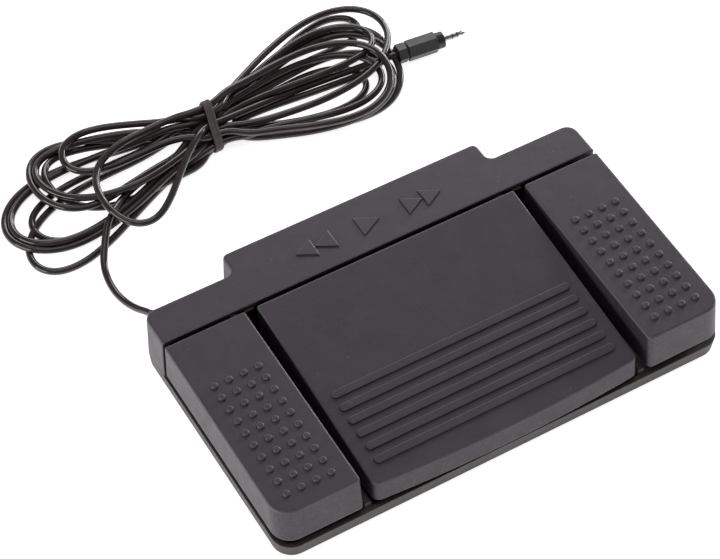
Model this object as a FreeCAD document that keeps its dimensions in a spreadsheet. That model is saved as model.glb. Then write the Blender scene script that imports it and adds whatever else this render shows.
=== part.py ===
import FreeCAD, Part
import math
import os
import re

import Sketcher

# Three-pedal foot controller for a dictation machine, in millimetres.
# Origin: on the floor, midway between the ends, below the pedals' rear edge.
# +X points to the right-hand pedal, +Y to the back, where the cord leaves, and +Z up.

Vector = FreeCAD.Vector
Rotation = FreeCAD.Rotation
TO_X = Rotation(Vector(0, 1, 0), 90)
TO_Y = Rotation(Vector(1, 0, 0), -90)
UPRIGHT = Rotation()

doc = FreeCAD.newDocument("foot_controller")
sheet = doc.addObject("Spreadsheet::Sheet", "Sizes")

# ---------------------------------------------------------------- driving dimensions

SIZES = [
    # whole object
    ("half_width", 97.0, "half the width at the top"),
    ("top_height", 28.0, "flat top of the rear housing"),
    ("wall", 2.0, "general moulding wall"),
    # base tray
    ("foot_drop", 1.0, "base underside above the floor"),
    ("rim_top", 7.4, "top of the tray's rim"),
    ("floor_top", 3.0, "inside floor of the tray"),
    ("rim_half", 97.4, "half the rim's width"),
    ("rim_front", 91.0, "rim's front face ahead of the origin"),
    ("rim_rear", 18.1, "rim's rear face"),
    ("rim_hood_half", 58.1, "half the width of the rim's rear extension"),
    ("rim_hood_rear", 28.3, "rear face of the rim's extension"),
    ("rim_wall", 2.2, "rim thickness"),
    ("rim_inset", 0.5, "draft of the rim from top to bottom"),
    ("front_round", 8.0, "outer front corners, in plan"),
    # rear housing
    ("housing_front", 1.1, "front edge of the housing's top"),
    ("housing_rear", 17.7, "rear face at the top"),
    ("hood_half", 57.7, "half the width of the hood at the top"),
    ("hood_rear", 27.9, "rear face of the hood at the top"),
    ("housing_bottom", 7.6, "lower edge, just above the rim"),
    ("housing_flare", 0.4, "draft of the housing from top to bottom"),
    ("rear_round", 5.0, "rear outer corners, in plan"),
    ("hood_round", 2.6, "hood's outer corners, in plan"),
    ("hood_fillet", 3.2, "inner corners where the hood meets the bar, in plan"),
    ("edge_round", 1.1, "rounding of the upper edges"),
    ("symbol_rise", 0.6, "raised symbols on the hood"),
    ("symbol_middle", 13.2, "middle of the symbols behind the origin"),
    # pedals
    ("pedal_rear", 0.5, "rear face of the pedals ahead of the origin"),
    ("side_centre", 79.9, "middle of each side pedal from the centre line"),
    ("side_half", 17.1, "half the width of a side pedal at the top"),
    ("side_flare", 0.35, "draft of the pedals' sides"),
    ("side_front", 88.2, "front edge of a side pedal at the top"),
    ("side_front_top", 26.0, "height of that edge"),
    ("side_bottom", 11.1, "lower edge of a side pedal"),
    ("side_foot", 90.4, "front face at the lower edge"),
    ("centre_half", 57.7, "half the width of the centre pedal at the top"),
    ("centre_corner", 88.9, "front corners of the centre pedal at the top"),
    ("centre_front_top", 19.0, "height of those corners"),
    ("centre_bow", 2.3, "bow of the centre pedal's front edge"),
    ("centre_bottom", 10.2, "lower edge of the centre pedal"),
    ("centre_foot", 90.0, "front corners at the lower edge"),
    ("pedal_skin", 2.3, "thickness of the pedals' tops"),
    ("inner_round", 2.0, "small corners of the pedals, in plan"),
    ("pedal_edge", 0.9, "rounding of the pedals' upper edges"),
    # grips
    ("dot_radius", 1.5, "round grip stud"),
    ("dot_rise", 1.0, "height of a stud"),
    ("dot_round", 0.75, "rounding of a stud"),
    ("dot_pitch_x", 6.22, "stud pitch across the pedal"),
    ("dot_pitch_y", 6.04, "stud pitch along the pedal"),
    ("dot_first", 25.7, "first row ahead of the origin"),
    ("rib_radius", 1.65, "half the width of a grip rib"),
    ("rib_half", 50.9, "half the distance between a rib's end centres"),
    ("rib_rise", 0.9, "height of a rib"),
    ("rib_round", 0.4, "rounding of a rib"),
    ("rib_pitch", 6.22, "rib pitch"),
    ("rib_last", 80.2, "rib nearest the front"),
    # hinge
    ("axis_y", 8.5, "hinge axis behind the origin"),
    ("axis_z", 16.0, "hinge axis above the floor"),
    ("shaft_radius", 1.5, "steel shaft"),
    ("shaft_half", 93.4, "half the length of the shaft"),
    ("running_gap", 0.05, "radial clearance of a pedal's eye on the shaft"),
    ("seat_gap", 0.02, "radial clearance of the shaft in its posts"),
    ("eye_radius", 3.6, "outside of a pedal's hinge eye"),
    ("arm_half", 2.5, "half the width of a hinge arm"),
    ("arm_bottom", 13.4, "underside of arm and tail"),
    ("arm_top", 19.0, "upper side of an arm"),
    ("tail_end", 14.4, "rear end of the tail that rests on its stop"),
    ("side_arm_in", 11.9, "inner hinge arm of a side pedal from its middle"),
    ("side_arm_out", 0.6, "outer hinge arm of a side pedal from its middle"),
    ("centre_arm_out", 51.0, "outer hinge arms of the centre pedal"),
    ("centre_arm_in", 12.0, "inner hinge arms of the centre pedal"),
    ("post_front", 4.5, "front face of the shaft posts"),
    ("post_rear", 12.5, "rear face of the shaft posts"),
    ("post_top", 20.0, "top of the shaft posts"),
    ("post_half", 1.3, "half the thickness of the shaft posts"),
    ("post_end", 91.1, "end posts off the centre line"),
    ("post_inner", 31.0, "inner posts off the centre line"),
    ("clip_x", 93.0, "shaft clips off the centre line"),
    ("stop_gap", 0.1, "clearance at the rest and travel stops"),
    # channel between two pedals
    ("channel_middle", 60.25, "middle of the channel"),
    ("channel_rib_half", 1.3, "half the thickness of the rib in the channel"),
    ("channel_rib_top", 10.0, "top of that rib"),
    ("channel_post_half", 2.0, "half the thickness of the post in the channel"),
    ("channel_post_top", 25.8, "top of that post"),
    ("channel_ledge_front", 0.3, "front edge of the ledge on that post"),
    ("channel_ledge_thick", 0.9, "thickness of that ledge"),
    # springs, switches and stops
    ("side_travel", 1.75, "travel of a side pedal, degrees"),
    ("centre_travel", 1.29, "travel of the centre pedal, degrees"),
    ("spring_y", 32.0, "return springs ahead of the origin"),
    ("spring_x", 30.0, "centre pedal's springs and bumpers off the centre line"),
    ("spring_seat", 8.0, "top of a spring seat in the tray"),
    ("spring_top", 22.0, "spring seat under a pedal at rest"),
    ("spring_radius", 3.6, "mean coil radius"),
    ("spring_wire", 0.45, "wire radius"),
    ("spring_turns", 7.0, "number of coils"),
    ("seat_radius", 5.0, "spring seats"),
    ("spigot_radius", 2.6, "spigot inside a spring"),
    ("spigot_rise", 3.0, "height of a spigot"),
    ("bumper_y", 60.0, "rubber bumpers ahead of the origin"),
    ("bumper_radius", 3.5, "rubber bumper"),
    ("bumper_thick", 3.0, "height of a bumper"),
    ("bumper_top", 11.4, "top of a bumper"),
    ("switch_y", 12.0, "switches ahead of the origin"),
    ("switch_half_x", 6.4, "half a switch's length"),
    ("switch_half_y", 2.9, "half a switch's width"),
    ("switch_tall", 6.5, "height of a switch"),
    ("plunger_radius", 1.0, "switch plunger"),
    ("plunger_out", 1.2, "plunger above the switch at rest"),
    ("plunger_long", 3.2, "length of a plunger"),
    ("plunger_gap", 0.05, "plunger clearance in its hole and below the pedal"),
    # circuit board
    ("board_half", 91.0, "half the board's length"),
    ("board_front", 20.0, "front edge ahead of the origin"),
    ("board_rear", 5.0, "rear edge ahead of the origin"),
    ("board_bottom", 5.0, "underside"),
    ("board_thick", 1.6, "thickness"),
    ("board_screw_x", 68.0, "outer board screws"),
    ("board_screw_in", 24.0, "inner board screws"),
    # ballast
    ("ballast_half", 56.0, "half the plate's length"),
    ("ballast_front", 85.0, "front edge ahead of the origin"),
    ("ballast_rear", 67.0, "rear edge ahead of the origin"),
    ("ballast_thick", 2.0, "thickness"),
    ("ballast_peg", 1.6, "radius of the plate's locating pegs"),
    ("ballast_peg_x", 40.0, "outer pegs off the centre line"),
    # housing screws
    ("screw_x", 74.3, "outer screws off the centre line"),
    ("screw_y", 13.6, "outer screws behind the origin"),
    ("screw_hood_x", 40.0, "hood screws off the centre line"),
    ("screw_hood_y", 21.4, "hood screws behind the origin"),
    ("screw_radius", 1.4, "screw shank"),
    ("screw_head", 2.7, "screw head"),
    ("screw_long", 14.0, "shank length"),
    ("boss_radius", 3.2, "screw bosses"),
    # feet
    ("foot_radius", 4.5, "rubber foot"),
    ("foot_thick", 1.8, "thickness of a foot"),
    ("foot_x", 84.0, "feet off the centre line"),
    ("foot_front", 78.0, "front feet ahead of the origin"),
    ("foot_rear", 7.0, "rear feet behind the origin"),
    # cord and its fittings
    ("cord_radius", 1.5, "cord"),
    ("exit_x", 88.0, "cord exit, left of the centre line"),
    ("exit_z", 11.0, "cord exit above the floor"),
    ("relief_flange", 3.5, "strain relief's inner flange"),
    ("relief_neck", 2.6, "strain relief in the wall"),
    ("relief_root", 3.1, "strain relief outside the wall"),
    ("relief_tip", 1.9, "strain relief's thin end"),
    ("relief_end", 29.0, "thin end behind the origin"),
    ("clamp_y", 1.6, "cable clamp behind the origin"),
    ("clamp_low", 9.8, "underside of the clamp bar"),
    ("clamp_thick", 1.6, "thickness of the clamp bar"),
    ("clamp_half", 5.4, "half the distance between the clamp's screws"),
    ("hank_thick", 11.0, "height of the tied hank"),
    ("tie_half", 2.0, "half the width of the tie"),
    ("tie_thick", 1.1, "thickness of the tie"),
    # plug, on its own axis from the cord end to the tip
    ("plug_x", 67.6, "rear end of the plug"),
    ("plug_y", 104.8, "rear end of the plug"),
    ("plug_z", 4.7, "plug axis above the floor"),
    ("plug_turn", -5.6, "plug axis from +X, degrees"),
    ("cap_long", 3.8, "hexagonal cap at the cord end"),
    ("cap_radius", 4.4, "across the cap's corners, halved"),
    ("neck_long", 0.9, "round neck behind the grip"),
    ("neck_radius", 3.2, "round neck"),
    ("grip_long", 13.2, "hexagonal grip"),
    ("grip_radius", 4.68, "across the grip's corners, halved"),
    ("collar_long", 3.6, "round collar"),
    ("collar_radius", 3.65, "round collar"),
    ("pin_radius", 1.25, "contact pin"),
    ("sleeve_end", 4.1, "sleeve contact's length"),
    ("band_wide", 0.45, "width of an insulating band"),
    ("ring_wide", 1.9, "width of the ring contact"),
    ("pin_long", 11.0, "whole pin"),
    ("tip_neck", 0.85, "waist of the tip contact"),
]

for row, (alias, size, note) in enumerate(SIZES, start=1):
    sheet.set(f"A{row}", alias)
    sheet.set(f"B{row}", str(size))
    sheet.set(f"C{row}", note)
    sheet.setAlias(f"B{row}", alias)
doc.recompute()

ALIASES = {alias for alias, size, note in SIZES}


def cells(text):
    """The expression text with each alias written as a cell of the sheet."""
    sheet = lambda word: ("Sizes." if word.group() in ALIASES else "") + word.group()
    return re.sub(r"[a-z_]+", sheet, text)


def size(text):
    """The number that an expression of aliases gives."""
    answer = sheet.evalExpression(cells(text))
    return float(getattr(answer, "Value", answer))


def bind(item, **properties):
    """Bind properties to expressions; a double underscore in a name stands for a dot."""
    for name, text in properties.items():
        item.setExpression(name.replace("__", "."), cells(text))


def place(item, x="0", y="0", z="0", turn=UPRIGHT):
    item.Placement = FreeCAD.Placement(Vector(size(x), size(y), size(z)), turn)
    bind(item, Placement__Base__x=x, Placement__Base__y=y, Placement__Base__z=z)


# ---------------------------------------------------------------- building blocks


def new_body(label, x="0", y="0", z="0", turn=UPRIGHT):
    body = doc.addObject("PartDesign::Body", label)
    body.Label = label
    place(body, x, y, z, turn)
    return body


def add(kind, name, body):
    """A primitive of the body, or of the document when there is no body."""
    if not body:
        return doc.addObject("Part::" + kind, name)
    item = body.newObject("PartDesign::" + kind, name)
    item.Refine = False
    return item


def box(name, x, y, z, body=None, cut=False):
    """A box between pairs of expressions along X, Y and Z."""
    kind = ("SubtractiveBox" if cut else "AdditiveBox") if body else "Box"
    item = add(kind, name, body)
    bind(item, Length=f"({x[1]}) - ({x[0]})", Width=f"({y[1]}) - ({y[0]})", Height=f"({z[1]}) - ({z[0]})")
    place(item, x[0], y[0], z[0])
    return item


def cylinder(name, x, y, z, radius, length, body=None, cut=False, turn=UPRIGHT):
    """A cylinder from a point along the turned Z axis."""
    kind = ("SubtractiveCylinder" if cut else "AdditiveCylinder") if body else "Cylinder"
    item = add(kind, name, body)
    bind(item, Radius=radius, Height=length)
    place(item, x, y, z, turn)
    return item


def new_sketch(body, name, role="XY_Plane", offset="0"):
    sketch = body.newObject("Sketcher::SketchObject", name)
    plane = next(item for item in body.Origin.OriginFeatures if item.Role == role)
    sketch.AttachmentSupport = [(plane, "")]
    sketch.MapMode = "FlatFace"
    bind(sketch, AttachmentOffset__Base__z=offset)
    doc.recompute()
    return sketch


def pin_point(sketch, curve, point, x, y):
    """Hold one point of a curve at expressions x and y of the sketch."""
    for kind, text, axis in (("DistanceX", x, -2), ("DistanceY", y, -1)):
        if text == "0":
            sketch.addConstraint(Sketcher.Constraint("PointOnObject", curve, point, axis))
            continue
        name = f"{kind}{curve}_{point}"
        index = sketch.addConstraint(Sketcher.Constraint(kind, -1, 1, curve, point, size(text)))
        sketch.renameConstraint(index, name)
        sketch.setExpression("Constraints." + name, cells(text))


def draw_outline(sketch, points):
    """A closed outline of straight edges through the points."""
    places = [Vector(size(x), size(y), 0) for x, y in points]
    count = len(points)
    for index in range(count):
        sketch.addGeometry(Part.LineSegment(places[index], places[(index + 1) % count]), False)
    for index in range(count):
        sketch.addConstraint(Sketcher.Constraint("Coincident", index, 2, (index + 1) % count, 1))
        pin_point(sketch, index, 1, *points[index])
    doc.recompute()
    return sketch


def draw_circle(sketch, x, y, radius):
    ring = Part.Circle(Vector(size(x), size(y), 0), Vector(0, 0, 1), size(radius))
    circle = sketch.addGeometry(ring, False)
    pin_point(sketch, circle, 3, x, y)
    index = sketch.addConstraint(Sketcher.Constraint("Radius", circle, size(radius)))
    sketch.renameConstraint(index, f"radius{circle}")
    sketch.setExpression(f"Constraints.radius{circle}", cells(radius))
    doc.recompute()
    return sketch


def extrude(body, kind, name, sketch, length, reversed_way=False, both_ways=False, taper=None):
    """A Pad or Pocket, which has to change the body's volume."""
    before = body.Shape.Volume if body.Tip and not body.Shape.isNull() else 0.0
    feature = body.newObject("PartDesign::" + kind, name)
    feature.Profile = sketch
    feature.Reversed = reversed_way
    feature.SideType = "Symmetric" if both_ways else "One side"
    bind(feature, Length=length)
    if taper:
        bind(feature, TaperAngle=taper)
    doc.recompute()
    change = body.Shape.Volume - before
    if (change > 0) != (kind == "Pad"):
        raise RuntimeError(f"{name} changed the volume by {change:.2f}")
    return feature


def edges_where(shape, wanted):
    return [f"Edge{number}" for number, edge in enumerate(shape.Edges, start=1) if wanted(edge)]


def round_edges(body, name, radius, wanted, kind="Fillet"):
    """Round (or chamfer) the edges of the body that the test picks."""
    doc.recompute()
    names = edges_where(body.Tip.Shape, wanted)
    if not names:
        raise RuntimeError(name + " found no edges")
    base = body.Tip
    feature = body.newObject("PartDesign::" + kind, name)
    feature.Base = (base, names)
    if kind == "Fillet":
        bind(feature, Radius=radius)
    else:
        bind(feature, Size=radius)
    doc.recompute()
    return feature


def upright_near(corners, reach=1.6):
    """A test for the more or less upright edges that stand at one of the plan corners."""
    spots = [(size(x), size(y)) for x, y in corners]

    def wanted(edge):
        ends = [vertex.Point for vertex in edge.Vertexes]
        if len(ends) < 2 or abs(ends[0].z - ends[1].z) < 2.0:
            return False
        return any(all(math.hypot(end.x - x, end.y - y) < reach for end in ends) for x, y in spots)

    return wanted


def group(label, pieces):
    item = doc.addObject("Part::Compound", label)
    item.Label = label
    item.Links = pieces
    return item


def joined(name, pieces):
    item = doc.addObject("Part::MultiFuse", name)
    item.Shapes = pieces
    return item


def cut_from(name, base, tool):
    item = doc.addObject("Part::Cut", name)
    item.Base = base
    item.Tool = tool
    item.Label = name
    return item


def plan(half, front, rear, hood_half, hood_rear, inset="0"):
    """The plan outline of the rear bar and its hood, or of the whole tray, drawn inwards by inset."""
    side, back, nose = f"({half} - ({inset}))", f"({rear} - ({inset}))", f"({front})"
    wing, tail = f"({hood_half} - ({inset}))", f"({hood_rear} - ({inset}))"
    right = [(side, nose), (side, back), (wing, back), (wing, tail)]
    left = [(f"-{x}", y) for x, y in reversed(right)]
    return left[-1:] + right + left[:-1]


# ---------------------------------------------------------------- base tray

BASE_RIM = ("rim_half", "-rim_front", "rim_rear", "rim_hood_half", "rim_hood_rear")
SIDES = (("left", "-1"), ("right", "1"))
POSTS = ("-post_end", "-post_inner", "0", "post_inner", "post_end")
SIDE_ARMS = ("-side_arm_in", "side_arm_out")
SPRING_SPOTS = ("-side_centre", "-spring_x", "spring_x", "side_centre")
BOARD_SCREWS = ("-board_screw_x", "-board_screw_in", "board_screw_in", "board_screw_x")
HOUSING_SCREWS = [
    ("-screw_x", "screw_y"),
    ("screw_x", "screw_y"),
    ("-screw_hood_x", "screw_hood_y"),
    ("screw_hood_x", "screw_hood_y"),
]
CLAMP_SCREWS = ("-exit_x + 1.2 - clamp_half", "-exit_x + 1.2 + clamp_half")
PEGS = ("-ballast_peg_x", "0", "ballast_peg_x")
FEET = [(f"{way} * foot_x", y) for way in ("-1", "1") for y in ("-foot_front", "foot_rear")]
FEET.append(("0", "0"))


CENTRE_ARMS = ("-centre_arm_out", "-centre_arm_in", "centre_arm_in", "centre_arm_out")
ARM_SPOTS = [f"{way} * (side_centre + {arm})" for side, way in SIDES for arm in SIDE_ARMS]
ARM_SPOTS.extend(CENTRE_ARMS)


def make_base_tray():
    body = new_body("tray_shell")
    half, front, rear, hood_half, hood_rear = BASE_RIM
    low_front = f"{front} + rim_inset"
    outline = plan(half, low_front, rear, hood_half, hood_rear, "rim_inset")
    sketch = draw_outline(new_sketch(body, "tray_outline", offset="foot_drop"), outline)
    taper = "atan(rim_inset / (rim_top - foot_drop))"
    extrude(body, "Pad", "tray_block", sketch, "rim_top - foot_drop", taper=taper)
    hollow = plan(half, f"{front} + rim_wall", rear, hood_half, hood_rear, "rim_wall")
    sketch = draw_outline(new_sketch(body, "tray_hollow_outline", offset="rim_top"), hollow)
    extrude(body, "Pocket", "tray_hollow", sketch, "rim_top - floor_top")
    corners = plan(*BASE_RIM)
    outer_rounds = (("front", "front_round", (0, 1)), ("rear", "rear_round", (2, 7)),
                    ("hood", "hood_round", (4, 5)), ("fillet", "hood_fillet", (3, 6)))
    inner_rounds = (("front", "front_round - rim_wall", (0, 1)),
                    ("rear", "rear_round - rim_wall", (2, 7)),
                    ("fillet", "hood_fillet + rim_wall", (3, 6)))
    for name, radius, spots in outer_rounds:
        uprights = upright_near([corners[spot] for spot in spots], 1.2)
        round_edges(body, f"tray_{name}_round", radius, uprights)
    for name, radius, spots in inner_rounds:
        uprights = upright_near([hollow[spot] for spot in spots], 0.3)
        round_edges(body, f"tray_inner_{name}", radius, uprights)
    low = size("foot_drop")
    on_floor = lambda edge: all(abs(vertex.Z - low) < 1e-4 for vertex in edge.Vertexes)
    round_edges(body, "tray_lower_edge", "foot_drop * 0.6", on_floor)

    adds, cuts = tray_fittings()
    fuse = joined("tray_with_fittings", [body] + adds)
    return cut_from("base_tray", fuse, joined("tray_cuts", cuts))


def tray_fittings():
    """The posts, ribs and bosses inside the tray, and the holes through them."""
    adds, cuts = [], []
    root = "floor_top - 0.2"
    # posts that hold the shaft, with the two in the channels carried up to close them
    for number, middle in enumerate(POSTS):
        adds.append(box(f"post_{number}", (f"{middle} - post_half", f"{middle} + post_half"),
                        ("post_front", "post_rear"), (root, "post_top")))
    for side, way in SIDES:
        middle = f"{way} * channel_middle"
        across = (f"{middle} - channel_post_half", f"{middle} + channel_post_half")
        adds.append(box(f"{side}_channel_post", across, ("post_front", "post_rear"),
                        (root, "channel_post_top")))
        adds.append(box(f"{side}_channel_ledge", across, ("channel_ledge_front", "post_front + 0.5"),
                        ("channel_post_top - channel_ledge_thick", "channel_post_top")))
        across = (f"{middle} - channel_rib_half", f"{middle} + channel_rib_half")
        adds.append(box(f"{side}_channel_rib", across, ("-rim_front + rim_wall", "0"),
                        (root, "channel_rib_top")))
        cuts.append(box(f"{side}_board_slot", (f"{middle} - 3", f"{middle} + 3"),
                        ("-board_front - 0.5", "-board_rear + 0.5"),
                        ("floor_top", "board_bottom + board_thick + 0.4")))
    cuts.append(cylinder("shaft_bore", "-half_width", "axis_y", "axis_z", "shaft_radius + seat_gap",
                         "2 * half_width", turn=TO_X))

    # rests for the tails of the pedal arms
    for number, middle in enumerate(ARM_SPOTS):
        adds.append(box(f"tail_rest_{number}", (f"{middle} - arm_half - 0.5", f"{middle} + arm_half + 0.5"),
                        ("tail_end - 2.4", "tail_end + 0.4"), (root, "arm_bottom - stop_gap")))

    for number, middle in enumerate(SPRING_SPOTS):
        adds.append(cylinder(f"spring_seat_{number}", middle, "-spring_y", root, "seat_radius",
                             "spring_seat - floor_top + 0.2"))
        adds.append(cylinder(f"spring_spigot_{number}", middle, "-spring_y", "spring_seat - 0.2",
                             "spigot_radius", "spigot_rise + 0.2"))
        adds.append(cylinder(f"bumper_boss_{number}", middle, "-bumper_y", root, "bumper_radius + 0.8",
                             "bumper_top - bumper_thick - floor_top + 0.2"))

    for number, middle in enumerate(BOARD_SCREWS):
        adds.append(cylinder(f"board_boss_{number}", middle, "-switch_y", root, "2.6",
                             "board_bottom - floor_top + 0.2"))
        cuts.append(cylinder(f"board_pilot_{number}", middle, "-switch_y", "floor_top - 0.8", "1.05", "5"))
    for number, middle in enumerate(PEGS):
        adds.append(cylinder(f"ballast_peg_{number}", middle, "-(ballast_front + ballast_rear) / 2", root,
                             "ballast_peg", "ballast_thick + 1"))

    # housing screws come up from below, through bosses; the clamp's go down
    for number, (x, y) in enumerate(HOUSING_SCREWS):
        adds.append(cylinder(f"screw_boss_{number}", x, y, root, "boss_radius", "rim_top - floor_top + 0.2"))
        cuts.append(cylinder(f"screw_hole_{number}", x, y, "0", "screw_radius + 0.2", "rim_top + 1"))
        cuts.append(cylinder(f"screw_recess_{number}", x, y, "0", "screw_head + 0.3", "foot_drop + 2.2"))
    for number, x in enumerate(CLAMP_SCREWS):
        adds.append(cylinder(f"clamp_boss_{number}", x, "clamp_y", root, "2.2",
                             "clamp_low - floor_top + 0.2"))
        cuts.append(cylinder(f"clamp_pilot_{number}", x, "clamp_y", "floor_top + 1", "1.05", "10"))

    for number, (x, y) in enumerate(FEET):
        cuts.append(cylinder(f"foot_recess_{number}", x, y, "0", "foot_radius + 0.1", "foot_thick"))
    return adds, cuts


def make_ballast_plate():
    plate = box("ballast_blank", ("-ballast_half", "ballast_half"), ("-ballast_front", "-ballast_rear"),
                ("floor_top", "floor_top + ballast_thick"))
    holes = [
        cylinder(f"ballast_hole_{number}", x, "-(ballast_front + ballast_rear) / 2", "0",
                 "ballast_peg + 0.2", "20")
        for number, x in enumerate(PEGS)
    ]
    return cut_from("ballast_plate", plate, group("ballast_holes", holes))


def make_rubber_feet():
    feet = [cylinder(f"foot_{number}", x, y, "0", "foot_radius", "foot_thick")
            for number, (x, y) in enumerate(FEET)]
    return group("rubber_feet", feet)


# ---------------------------------------------------------------- rear housing


def arrow(tip_x, base_x, half_tall="4.4"):
    """A triangle on the hood, pointing from base_x to tip_x."""
    near, far = f"symbol_middle - {half_tall}", f"symbol_middle + {half_tall}"
    return [(base_x, near), (tip_x, "symbol_middle"), (base_x, far)]


SYMBOLS = {
    "rewind_a": arrow("-32.6", "-24.6"),
    "rewind_b": arrow("-24.1", "-16.1"),
    "play": arrow("4.6", "-4.6", "4.9"),
    "forward_a": arrow("24.1", "16.1"),
    "forward_b": arrow("32.6", "24.6"),
}


def make_rear_housing():
    body = new_body("rear_housing")
    outer = ("half_width", "housing_front", "housing_rear", "hood_half", "hood_rear")
    outline = plan(*outer)
    sketch = draw_outline(new_sketch(body, "housing_outline", offset="top_height"), outline)
    taper = "atan(housing_flare / (top_height - housing_bottom))"
    extrude(body, "Pad", "housing_block", sketch, "top_height - housing_bottom", reversed_way=True,
            taper=taper)
    low = ("-rim_half - 1", "rim_half + 1")
    box("housing_front_trim", low, ("-10", "housing_front"), ("0", "40"), body, True)
    hollow = plan("half_width", "-5", "housing_rear", "hood_half", "hood_rear", "wall")
    sketch = draw_outline(new_sketch(body, "housing_hollow_outline", offset="housing_bottom"), hollow)
    extrude(body, "Pocket", "housing_hollow", sketch, "top_height - wall - housing_bottom",
            reversed_way=True)
    outer_rounds = (("rear", "rear_round", (2, 7)), ("hood", "hood_round", (4, 5)),
                    ("fillet", "hood_fillet", (3, 6)))
    inner_rounds = (("rear", "rear_round - wall", (2, 7)), ("fillet", "hood_fillet + wall", (3, 6)))
    for name, radius, spots in outer_rounds:
        uprights = upright_near([outline[spot] for spot in spots], 1.2)
        round_edges(body, f"housing_{name}_round", radius, uprights)
    for name, radius, spots in inner_rounds:
        uprights = upright_near([hollow[spot] for spot in spots], 0.3)
        round_edges(body, f"housing_inner_{name}", radius, uprights)
    top, front = size("top_height"), size("housing_front")

    def on_top(edge):
        ends = [vertex.Point for vertex in edge.Vertexes]
        level = all(abs(end.z - top) < 1e-4 for end in ends)
        return level and not all(abs(end.y - front) < 1e-4 for end in ends)

    def on_front(edge):
        return all(abs(vertex.Z - top) < 1e-4 and abs(vertex.Y - front) < 0.02
                   for vertex in edge.Vertexes)

    round_edges(body, "housing_top_edge", "edge_round", on_top)
    round_edges(body, "housing_front_edge", "0.35", on_front)

    for number, (x, y) in enumerate(HOUSING_SCREWS):
        cylinder(f"housing_boss_{number}", x, y, "housing_bottom", "boss_radius",
                 "top_height - wall / 2 - housing_bottom", body)
        cylinder(f"housing_pilot_{number}", x, y, "0", "screw_radius + 0.05",
                 "foot_drop + screw_long + 4", body, True)
    cylinder("cord_hole", "-exit_x", "housing_rear - wall - 2", "exit_z", "relief_neck + 0.05", "8",
             body, True, TO_Y)

    for name, corners in SYMBOLS.items():
        sketch = draw_outline(new_sketch(body, name + "_outline", offset="top_height - 0.3"), corners)
        extrude(body, "Pad", name, sketch, "symbol_rise + 0.3")
    return body


# ---------------------------------------------------------------- pedals


def pedal_body(label, middle, half, top_front, foot, bottom):
    """The outer block of a pedal: a loft from its lower outline to one above its sloping top."""
    body = new_body(label, x=middle)
    lift = "top_height + 1"
    fall = f"(({foot}) - ({top_front[0]})) / (({top_front[1]}) - ({bottom}))"
    high_front = f"({top_front[0]}) - {fall} * ({lift} - ({top_front[1]}))"
    sections = []
    for name, level, wide, front in (
        ("lower_outline", bottom, f"({half} + side_flare)", f"-({foot})"),
        ("upper_outline", lift, f"({half})", f"-({high_front})"),
    ):
        corners = [(f"-{wide}", front), (wide, front), (wide, "-pedal_rear"), (f"-{wide}", "-pedal_rear")]
        sections.append(draw_outline(new_sketch(body, name, offset=level), corners))
    loft = body.newObject("PartDesign::AdditiveLoft", "block")
    loft.Profile = sections[0]
    loft.Sections = [sections[1]]
    loft.Ruled = True
    doc.recompute()
    return body


def bow_front(body):
    """Turn the centre pedal's front wall to a shallow cone about an upright axis far behind it."""
    lean = "((centre_foot - centre_corner) / (centre_front_top - centre_bottom))"
    low, high = "centre_bottom - 2", "top_height + 3"
    wall = "-centre_corner - centre_bow - {lean} * (centre_front_top - ({level}))"
    points = [(wall.format(lean=lean, level=low), low), (wall.format(lean=lean, level=high), high),
              ("-120", high), ("-120", low)]
    sketch = draw_outline(new_sketch(body, "bow_profile", "YZ_Plane"), points)
    radius = "(centre_half * centre_half + centre_bow * centre_bow) / (2 * centre_bow)"
    axis_y = f"{radius} - centre_corner - centre_bow"
    line = Part.LineSegment(Vector(size(axis_y), 0, 0), Vector(size(axis_y), 20, 0))
    axis = sketch.addGeometry(line, True)
    pin_point(sketch, axis, 1, axis_y, "0")
    pin_point(sketch, axis, 2, axis_y, "20")
    before = body.Shape.Volume
    groove = body.newObject("PartDesign::Groove", "bow")
    groove.Profile = sketch
    groove.ReferenceAxis = (sketch, ["Axis0"])
    groove.Angle = 16
    groove.Midplane = True
    doc.recompute()
    if body.Shape.Volume >= before:
        raise RuntimeError("the bow removed nothing")


def slope_cut(body, name, front, front_top, rise="0"):
    """Cut the block above the pedal's sloping top, raised by rise."""
    sketch = new_sketch(body, name + "_profile", "YZ_Plane")
    slope = f"((top_height - ({front_top})) / (({front}) - pedal_rear))"
    points = [
        ("-pedal_rear + 5", f"top_height + {rise} + 5 * {slope}"),
        ("-pedal_rear + 5", "top_height + 12"),
        ("-120", "top_height + 12"),
        ("-120", f"top_height + {rise} - (120 - pedal_rear) * {slope}"),
    ]
    draw_outline(sketch, points)
    return extrude(body, "Pocket", name, sketch, "400", both_ways=True)


def top_edges(body, front, front_top):
    """A test for the edges on the pedal's sloping top, whose rise along Y is known."""
    slope = size(f"(top_height - ({front_top})) / (({front}) - pedal_rear)")
    top, rear = size("top_height"), size("-pedal_rear")

    def wanted(edge):
        points = [edge.valueAt(edge.FirstParameter), edge.valueAt(edge.LastParameter)]
        return all(abs(point.z - (top + slope * (point.y - rear))) < 2e-3 for point in points)

    return wanted


def raised_edges(front, front_top, rise):
    slope = size(f"(top_height - ({front_top})) / (({front}) - pedal_rear)")
    top, rear, lift = size("top_height"), size("-pedal_rear"), size(rise)

    def wanted(edge):
        middle = edge.valueAt((edge.FirstParameter + edge.LastParameter) / 2)
        return abs(middle.z - (top + lift + slope * (middle.y - rear))) < 2e-3

    return wanted


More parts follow.
